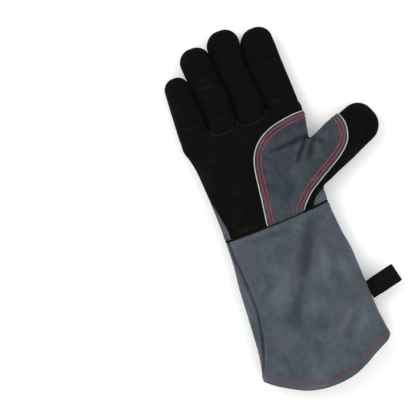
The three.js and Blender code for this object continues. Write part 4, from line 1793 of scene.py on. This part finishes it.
@dataclass
class Trims:
    """Piping, stitching and the welt, laid on the leather."""

    form: GloveForm
    seams: Seams
    shop: Workshop
    skin: Skin
    shell: Shell
    piping: float = 0.75
    thread: float = 0.66
    rows: tuple[float, ...] = (3.4, 7.0)
    hem_row: float = 7.6
    tuck_z: float = 14.0

    def build(self) -> None:
        """Makes every trim."""
        self._patch_edges()
        self._wrist_welt()
        self._hem_thread()
        self._finger_root_seams()

    def _patch_edges(self) -> None:
        """Makes the piping and the two rows of stitches on each of the patch's sewn edges."""
        edges = (("palm", self.seams.patch_palm, -1, "hand", ["palm"]),
                 ("thumb", self.seams.patch_thumb, 1, "thumb", ["ball", "thumb"]))
        for label, line, inward, body, nodes in edges:
            start, bend = self.shell.bend(body)
            path, up = self._above_wrist(line.shifted(-0.3 * inward), 0.8)
            cord = tube(f"piping_{label}", path, up, self.piping, self.piping * 1.15)
            self.shop.fit(cord, Finish.PIPING, start, bend, [f"{node}_piping" for node in nodes])
            for number, inset in enumerate(self.rows):
                path, up = self._above_wrist(line.shifted(inset * inward), self.shell.patch_lift + 0.1)
                row = stitches(f"stitches_{label}_{number + 1}", path, up, 3.5, 3.2, self.thread)
                stands_for = [f"{node}_thread" for node in nodes] if number == 0 else []
                self.shop.fit(row, Finish.THREAD, start, bend, stands_for)

    def _above_wrist(self, line: Line, lift: float) -> tuple[Array, Array]:
        """The part of a draped curve above the wrist seam.

        Args:
            line: the curve.
            lift: how far the path stands off the leather.

        Returns:
            The path and its outward directions.
        """
        path, up = self.skin.draped(line, lift, self.tuck_z)
        keep = path[:, 1] > self.form.wrist_line(path[:, 0]) + 0.8
        return path[keep], up[keep]

    def _wrist_welt(self) -> None:
        """Makes the dark welt in the wrist seam."""
        form = self.form
        path, up = self.skin.ring(lambda x: float(form.wrist_line(x)), form.middle_x, 60, 0.5)
        path[:, 2] = np.maximum(path[:, 2], 1.1)
        cord = tube("wrist_welt_cord", path, up, 1.5, 0.9, closed=True)
        self.shop.fit(cord, Finish.STRAP, "hand", None, ["wrist_welt"])

    def _hem_thread(self) -> None:
        """Makes the row of stitches round the hem."""
        form = self.form
        line = lambda x: float(form.hem_line(x)) + self.hem_row
        path, up = self.skin.ring(line, form.middle_x, 72, 0.1, 240)
        path[:, 2] = np.maximum(path[:, 2], 0.4)
        closed = np.vstack([path, path[:1]]), np.vstack([up, up[:1]])
        row = stitches("hem_stitches", *closed, 4.0, 3.2, 0.5)
        self.shop.fit(row, Finish.THREAD, "cuff", None, ["hem_thread"])

    def _finger_root_seams(self) -> None:
        """Makes the raised seams at the roots of the ring and middle fingers."""
        for name, line in (("ring", self.seams.ring_root), ("middle", self.seams.middle_root)):
            path, up = self.skin.draped(line, 0.3, None, 1.2)
            start, bend = self.shell.bend(name)
            # The cords count as fully proud, so their finish turns the black towards grey: worn nap with a
            # painted highlight.
            cord = tube(f"{name}_root_seam", path, up, 0.6, 0.5, rubbed=2.5)
            self.shop.fit(cord, Finish.BLACK, start, bend)


@dataclass
class HangingLoop:
    """The strap that the glove hangs by."""

    shop: Workshop
    length: float = 33.0
    width: float = 20.5
    strap: float = 1.7
    taper: float = 9.0
    angle: float = 13.0
    aside: float = -1.5

    def build(self) -> None:
        """Makes the strap and the stitches that hold its two ends."""
        low, high = node_box("hanging_loop")
        half = (high[2] - low[2]) / 2 - self.strap
        pivot = joint_place("loop_swing")
        reach = self.length - half - self.strap
        line = [(-5.0, 0.0, 0.9)]
        for t in (0.2, 0.6, 1.0):
            line.append((self.taper * t, 0.0, 0.9 + (half - 0.9) * float(smooth(np.array(t)))))
        line += [(self.taper + (reach - self.taper) * t, 0.0, half) for t in (0.35, 0.7, 1.0)]
        turn = [math.radians(a) for a in (67, 45, 22, 0)]
        line += [(reach + half * math.cos(a), 0.0, half * math.sin(a)) for a in turn]
        lower = [(x, y, -z) for x, y, z in line[-2::-1]]
        path = spline(line + lower, 3)
        angle = math.radians(self.angle)
        along = np.array([math.cos(angle), math.sin(angle), 0])
        across = np.array([-math.sin(angle), math.cos(angle), 0])
        outer = np.multiply.outer
        place = lambda x, y, z: (
            pivot + outer(x, along) + outer(y + self.aside, across) + outer(z, (0, 0, 1)))
        self._band(path, place)
        for number, x in enumerate((1.5, 3.6)):
            y = np.linspace(-self.width / 2 + 1.5, self.width / 2 - 1.5, 12)
            row = place(np.full(12, x), y, np.full(12, 0.9 + self.strap / 2 + 0.5 + 0.1 * number))
            up = np.tile([0.0, 0.0, 1.0], (12, 1))
            piece = stitches(f"loop_stitches_{number + 1}", row, up, 3.0, 2.4, 0.4)
            self.shop.fit(piece, Finish.STRAP, "hanging_loop")

    def _band(self, path: Array, place: Callable) -> None:
        """Makes the strap itself.

        Args:
            path: its middle line from the side.
            place: turns distances along, across and up into points.
        """
        along = np.gradient(path, axis=0)
        normal = unit(np.column_stack([-along[:, 2], along[:, 0]]))
        half, thick = self.width / 2, self.strap / 2
        bevel = 0.5
        section = [(-half, thick - bevel), (-half + bevel, thick)]
        section += [(y, thick + 0.12 * math.cos(y)) for y in np.linspace(-half + 2, half - 2, 7)]
        section += [(half - bevel, thick), (half, thick - bevel)]
        section += [(y, -z) for y, z in reversed(section)]
        y, t = np.array(section).T
        points = np.vstack([place(x + t * nx, y, z + t * nz) for (x, _, z), (nx, nz) in zip(path, normal)])
        sides = len(section)
        faces = [f[:1] + f[:0:-1] for f in lofted(len(path), sides)]
        last = (len(path) - 1) * sides
        for k in range(sides // 2 - 1):
            m = sides - 1 - k
            faces.append((k, k + 1, m - 1, m))
            faces.append((last + m, last + m - 1, last + k + 1, last + k))
        piece = new_object("hanging_strap", points, np.array(faces))
        self.shop.fit(piece, Finish.STRAP, "hanging_loop", None, ["hanging_loop"])


@dataclass
class Studio:
    """The pale floor, the soft lights and the camera."""

    view_x: float = -62.0
    view_y: float = -20.7
    view_width: float = 461.6
    turn: float = -20.5
    lens: float = 85.0
    sensor: float = 36.0
    glove_height: float = 22.0
    surroundings: float = 1.02
    # Each lamp's place and size in metres, and its power in watts.
    lamps: tuple[tuple[str, tuple[float, float, float], float, float], ...] = (
        ("key", (-0.9, 0.9, 1.4), 0.9, 13.0), ("fill", (1.2, 0.3, 1.5), 1.4, 4.0),
        ("low", (0.1, -1.3, 1.2), 1.2, 3.0))

    def build(self) -> None:
        """Makes the camera, the floor and the lights."""
        self._camera()
        self._floor()
        self._lights()
        view = bpy.context.scene.view_settings
        view.view_transform = "Standard"
        view.look = "None"

    def _camera(self) -> None:
        """Makes the camera, straight above the glove."""
        data = bpy.data.cameras.new("camera")
        data.lens, data.sensor_width = self.lens, self.sensor
        camera = bpy.data.objects.new("camera", data)
        distance = self.view_width * self.lens / self.sensor
        camera.location = (self.view_x * MM, self.view_y * MM, (distance + self.glove_height) * MM)
        camera.rotation_euler = (0, 0, math.radians(self.turn))
        bpy.context.scene.collection.objects.link(camera)
        bpy.context.scene.camera = camera

    def _floor(self) -> None:
        """Makes the floor."""
        size = 4000.0
        points = np.array([(-size, -size, 0), (size, -size, 0), (size, size, 0), (-size, size, 0)])
        floor = new_object("floor", points - (0, 0, 0.4), np.array([(0, 1, 2, 3)]))
        made, _, shader = blank_material("floor")
        shader.inputs["Base Color"].default_value = (0.9, 0.9, 0.9, 1)
        shader.inputs["Roughness"].default_value = 0.8
        shader.inputs["Emission Color"].default_value = (1, 1, 1, 1)
        shader.inputs["Emission Strength"].default_value = 0.06
        floor.data.materials.append(made)

    def _lights(self) -> None:
        """Makes the even surroundings and the three soft lamps."""
        world = bpy.data.worlds.new("studio")
        bpy.context.scene.world = world
        world.use_nodes = True
        background = world.node_tree.nodes["Background"]
        background.inputs[0].default_value = (1, 1, 1, 1)
        background.inputs[1].default_value = self.surroundings
        for name, place, size, power in self.lamps:
            data = bpy.data.lights.new(name, "AREA")
            data.size, data.energy = size, power
            lamp = bpy.data.objects.new(name, data)
            lamp.location = place
            aim = Vector((0, -0.04, 0)) - Vector(place)
            lamp.rotation_mode = "QUATERNION"
            lamp.rotation_quaternion = aim.to_track_quat("-Z", "Y")
            bpy.context.scene.collection.objects.link(lamp)


def main() -> None:
    """Builds the studio and the glove."""
    logging.basicConfig(level=logging.INFO, format="%(name)s: %(message)s")
    Studio().build()
    shop = Workshop()
    form = GloveForm()
    seams = Seams(form)
    shell = Shell(form, seams, shop)
    skin = shell.build()
    Trims(form, seams, shop, skin, shell).build()
    HangingLoop(shop).build()


if __name__ == "__main__":
    main()
